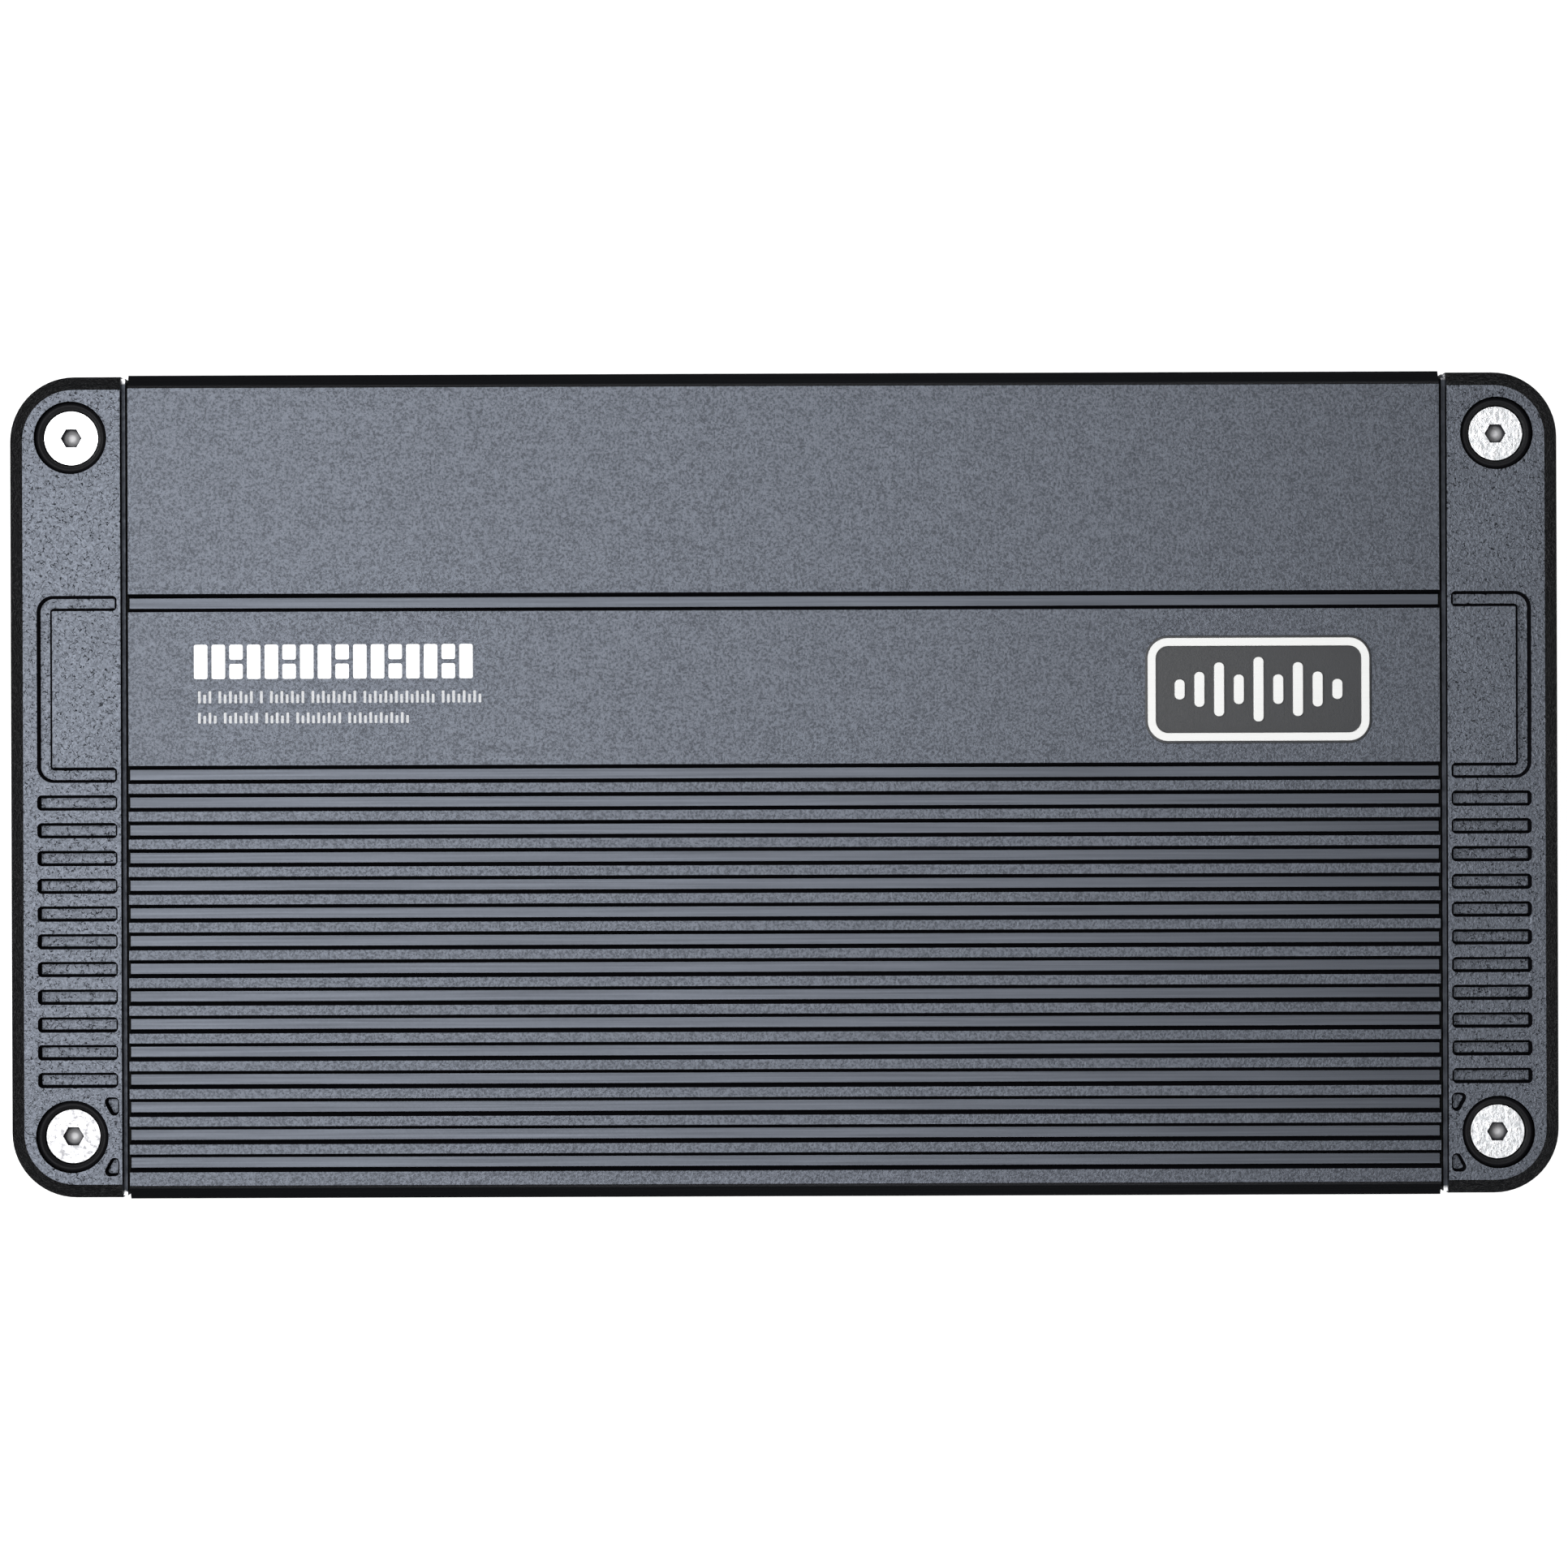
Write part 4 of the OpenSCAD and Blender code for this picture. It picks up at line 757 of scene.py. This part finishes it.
def print_level_bars():
    """A row of plain meter bars, every third one split in two."""
    left, right, low, high = mm(-87.6, -46.2, 16.0, 21.1)
    count, gap, radius = 16, mm(0.62), mm(0.3)
    pitch = (right - left + gap) / count
    width, half = pitch - gap, (high - low - gap) / 2
    bm = bmesh.new()
    for i in range(count):
        x = left + pitch * i + width / 2
        if i % 3 == 2:
            for y in (low + half / 2, high - half / 2):
                add_prism(bm, rounded_outline(x, y, width, half, radius), on_top, INK_DEPTH)
        else:
            bar = rounded_outline(x, (low + high) / 2, width, high - low, radius)
            add_prism(bm, bar, on_top, INK_DEPTH)
    finish_mesh("printed_level_bars", bm, WHITE_INK, ROOT)


TICK_ROWS = ((mm(12.4, 14.2), (3, 7, 1, 7, 9, 14, 8)),      # each row's low and high edge, and how
             (mm(9.4, 11.0), (4, 7, 5, 9, 12)))             # many ticks stand together in it


def print_scale_ticks():
    """Two rows of fine graduation ticks in groups, below the bars; every second one is shorter."""
    left, pitch, width, corner = mm(-86.8, 0.78, 0.4, 0.1)
    shorter, gap = 0.72, pitch * 0.9
    bm = bmesh.new()
    for (low, high), groups in TICK_ROWS:
        x = left
        for group in groups:
            for i in range(group):
                tall = high - low if i % 2 == 0 else (high - low) * shorter
                tick = rounded_outline(x, low + tall / 2, width, tall, corner, 2)
                add_prism(bm, tick, on_top, INK_DEPTH)
                x += pitch
            x += gap
    finish_mesh("printed_scale_ticks", bm, GREY_INK, ROOT)


LINE = mm(0.35)                                 # the width of the panel's printed lines


def add_dial(bm, centre):
    """Eleven ticks round a control, 30 degrees apart, with longer ones at both ends and the middle."""
    inner_radius, long_tick, short_tick, corner = mm(4.55, 1.0, 0.6, 0.12)
    for i in range(11):
        length = long_tick if i % 5 == 0 else short_tick
        upright = rounded_outline(centre.y, centre.z + inner_radius + length / 2, LINE, length, corner, 2)
        tick = turned_outline(upright, centre.y, centre.z, math.radians(-150 + 30 * i))
        add_prism(bm, tick, on_signal_panel, INK_DEPTH)


def add_panel_frame(bm, node, margin):
    """A line round a node, the given margin away."""
    radius = mm(1.6)
    low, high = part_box(node)
    cy, cz = (low.y + high.y) / 2, (low.z + high.z) / 2
    w, h = high.y - low.y + 2 * margin, high.z - low.z + 2 * margin
    outer = rounded_outline(cy, cz, w, h, radius)
    inner = rounded_outline(cy, cz, w - 2 * LINE, h - 2 * LINE, radius - LINE)
    add_ring(bm, outer, inner, on_signal_panel, INK_DEPTH)


def add_switch_dots(bm, slider):
    """A dot under each end of a slide switch."""
    aside, below, size, radius = mm(4.2, 1.6, 0.8, 0.39)
    low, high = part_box(slider)
    for side in (-1, 1):
        y = (low.y + high.y) / 2 + side * aside
        add_prism(bm, rounded_outline(y, low.z - below, size, size, radius), on_signal_panel, INK_DEPTH)


def print_signal_panel():
    """Dial ticks round the controls, frames round the connectors and dots beside switches."""
    bm = bmesh.new()
    for knob in KNOBS:
        add_dial(bm, middle(knob))
    add_panel_frame(bm, "rca_sleeves", mm(1.3))
    add_panel_frame(bm, "remote_port", mm(0.9))
    for slider in ("phase_switch_slider", "level_switch_slider"):
        add_switch_dots(bm, slider)
    finish_mesh("printed_signal_panel", bm, WHITE_INK, ROOT)


def print_pointers():
    """A white pointer line across each control's face, level with its notch."""
    above_centre, width, length, corner, sunk = mm(3.05, 0.46, 0.75, 0.2, 0.012)
    for knob in KNOBS:
        face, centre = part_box(knob)[0].x, middle(knob)

        def on_knob(u, v, d, face=face):
            return (face - d * 0.2 + sunk, u, v)

        bm = bmesh.new()
        pointer = rounded_outline(centre.y, centre.z + above_centre, width, length, corner, 3)
        add_prism(bm, pointer, on_knob, INK_DEPTH)
        body = knob.replace("_knob", "_control")
        finish_mesh(knob + "_pointer", bm, WHITE_INK, body)


def plus_outline(cx, cy, size, stroke):
    """The outline of a plus sign, counterclockwise."""
    a, b = size / 2, stroke / 2
    arm = ((a, -b), (a, b), (b, b))
    points = []
    for c, s in ((1, 0), (0, 1), (-1, 0), (0, -1)):
        points += [(cx + x * c - y * s, cy + x * s + y * c) for x, y in arm]
    return points


def print_polarity_marks():
    """Plus and minus signs above the terminals, and a dot above the remote wire's."""
    bm = bmesh.new()
    size, stroke, below_edge = mm(2.4, 0.6, 2.1)
    for block, marks in (("power_terminal_block", ("minus", "dot", "plus")),
                         ("speaker_terminal_block", ("minus", "plus"))):
        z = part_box(block)[1].z - below_edge
        screws = [n for n in TERMINAL_SCREWS if ("speaker" in n) == ("speaker" in block)]
        for y, mark in zip(sorted(middle(n).y for n in screws), marks):
            if mark == "plus":
                outline = plus_outline(y, z, size, stroke)
            elif mark == "minus":
                outline = rounded_outline(y, z, size, stroke, mm(0.1), 2)
            else:
                outline = rounded_outline(y, z, 2 * stroke, 2 * stroke, stroke * 0.98)
            add_prism(bm, outline, on_power_block, INK_DEPTH)
    finish_mesh("printed_polarity_marks", bm, WHITE_INK, ROOT)


# ---------------------------------------------------------------- stage, light and camera

VIEW_WIDTH = mm(232.8)                          # what the frame takes in at the height of the top
VIEW_DISTANCE = 1.2                             # from the camera down to the top
VIEW_CENTRE = mm(-0.05, 0.13)
VIEW_TURN_DEG = -0.2
FLOOR_HALF = 4.0
FLOOR_GLOW = 0.80                               # what the floor glows with, to the camera only
FLOOR_BOUNCE = (0.10, 0.10, 0.105)              # how much light the floor throws on the object's sides
NEAR_GLOW = 0.75                                # what the floor close by glows with, to the object only
NEAR_GLOW_ENDS = (0.16, 0.27)                   # where that starts to fade, and where it is gone
# The ring of light: how high up the sky sphere, and how bright there.
RING = ((0.18, 0.8), (0.30, 1.5), (0.46, 1.5), (0.80, 0.03))


def floor_paint():
    """White to the camera; to the object it is dark, with a glow close by. Clear from below."""
    sh = Shader("floor", (0.36, 0.36, 0.36), 0.9, spec=0.1)
    sh.put("Emission Color", (1, 1, 1, 1))
    sh.put("Emission Strength", FLOOR_GLOW)
    away = sh.node("ShaderNodeVectorMath", operation="LENGTH")
    near = sh.node("ShaderNodeEmission")
    bounce = sh.node("ShaderNodeBsdfDiffuse")
    bounce.inputs["Color"].default_value = (*FLOOR_BOUNCE, 1)
    sides_see = sh.node("ShaderNodeAddShader")
    seen = sh.node("ShaderNodeMixShader")
    whole = sh.node("ShaderNodeMixShader")
    wire(sh.tree, (sh.object_coords, away.inputs[0]),
         (sh.remap(away.outputs["Value"], *NEAR_GLOW_ENDS, NEAR_GLOW, 0.0), near.inputs["Strength"]),
         (bounce.outputs[0], sides_see.inputs[0]),
         (near.outputs[0], sides_see.inputs[1]),
         (sh.node("ShaderNodeLightPath").outputs["Is Camera Ray"], seen.inputs[0]),
         (sides_see.outputs[0], seen.inputs[1]),
         (sh.bsdf.outputs[0], seen.inputs[2]),
         (sh.node("ShaderNodeNewGeometry").outputs["Backfacing"], whole.inputs[0]),
         (seen.outputs[0], whole.inputs[1]),
         (sh.node("ShaderNodeBsdfTransparent").outputs[0], whole.inputs[2]),
         (whole.outputs[0], sh.tree.nodes["Material Output"].inputs[0]))
    return sh.material


def floor():
    """A plain pale floor under the object."""
    corners = ((-1, -1), (1, -1), (1, 1), (-1, 1))
    bm = bmesh.new()
    bm.faces.new([bm.verts.new((x * FLOOR_HALF, y * FLOOR_HALF, 0)) for x, y in corners])
    mesh = bpy.data.meshes.new("floor")
    bm.to_mesh(mesh)
    bm.free()
    mesh.materials.append(floor_paint())
    plane = bpy.data.objects.new("floor", mesh)
    bpy.context.scene.collection.objects.link(plane)


def area_light(name, place, target, size, watts):
    """A rectangular lamp that points at its target and is not seen itself."""
    light = bpy.data.lights.new(name, "AREA")
    light.shape = "RECTANGLE"
    light.size, light.size_y = size
    light.energy = watts
    lamp = bpy.data.objects.new(name, light)
    bpy.context.scene.collection.objects.link(lamp)
    lamp.location = place
    lamp.rotation_euler = (Vector(target) - Vector(place)).to_track_quat("-Z", "Y").to_euler()
    lamp.visible_camera = False


def world():
    """A ring of soft light around the object; the camera itself sees white all round."""
    made = bpy.data.worlds.new("studio")
    made.use_nodes = True
    tree = made.node_tree
    direction = tree.nodes.new("ShaderNodeTexCoord")
    height = tree.nodes.new("ShaderNodeSeparateXYZ")
    path = tree.nodes.new("ShaderNodeLightPath")
    ring = tree.nodes.new("ShaderNodeValToRGB")
    stops = ring.color_ramp.elements
    while len(stops) < len(RING):
        stops.new(1.0)
    for stop, (where, light) in zip(stops, RING):
        stop.position = where
        stop.color = (light, light, light, 1)
    background = tree.nodes["Background"]
    background.inputs["Strength"].default_value = 1.0
    seen = tree.nodes.new("ShaderNodeMix")
    seen.data_type = "RGBA"
    seen.inputs[COLOUR_B].default_value = (1, 1, 1, 1)
    wire(tree, (direction.outputs["Generated"], height.inputs[0]),
         (height.outputs["Z"], ring.inputs["Fac"]),
         (path.outputs["Is Camera Ray"], seen.inputs["Factor"]),
         (ring.outputs["Color"], seen.inputs[COLOUR_A]),
         (seen.outputs[MIXED_COLOUR], background.inputs["Color"]))
    bpy.context.scene.world = made


def camera():
    """Straight down over the middle of the top, and turned slightly."""
    data = bpy.data.cameras.new("camera")
    data.sensor_width = 36
    data.lens = data.sensor_width * VIEW_DISTANCE / VIEW_WIDTH
    made = bpy.data.objects.new("camera", data)
    bpy.context.scene.collection.objects.link(made)
    made.location = (*VIEW_CENTRE, TOP_Z + VIEW_DISTANCE)
    made.rotation_euler = (0, 0, math.radians(VIEW_TURN_DEG))
    bpy.context.scene.camera = made


dress_housing()
dress_electronics()
dress_connectors()
print_level_bars()
print_scale_ticks()
print_signal_panel()
print_pointers()
print_polarity_marks()
floor()
world()
area_light("key", place=(-0.23, 0.05, 0.85), target=(-0.23, 0.05, 0), size=(0.62, 0.62), watts=11.5)
area_light("fill", place=(0.75, -0.85, 0.45), target=(0, 0, 0.03), size=(0.7, 0.5), watts=4.0)
camera()
bpy.context.scene.view_settings.view_transform = "Standard"
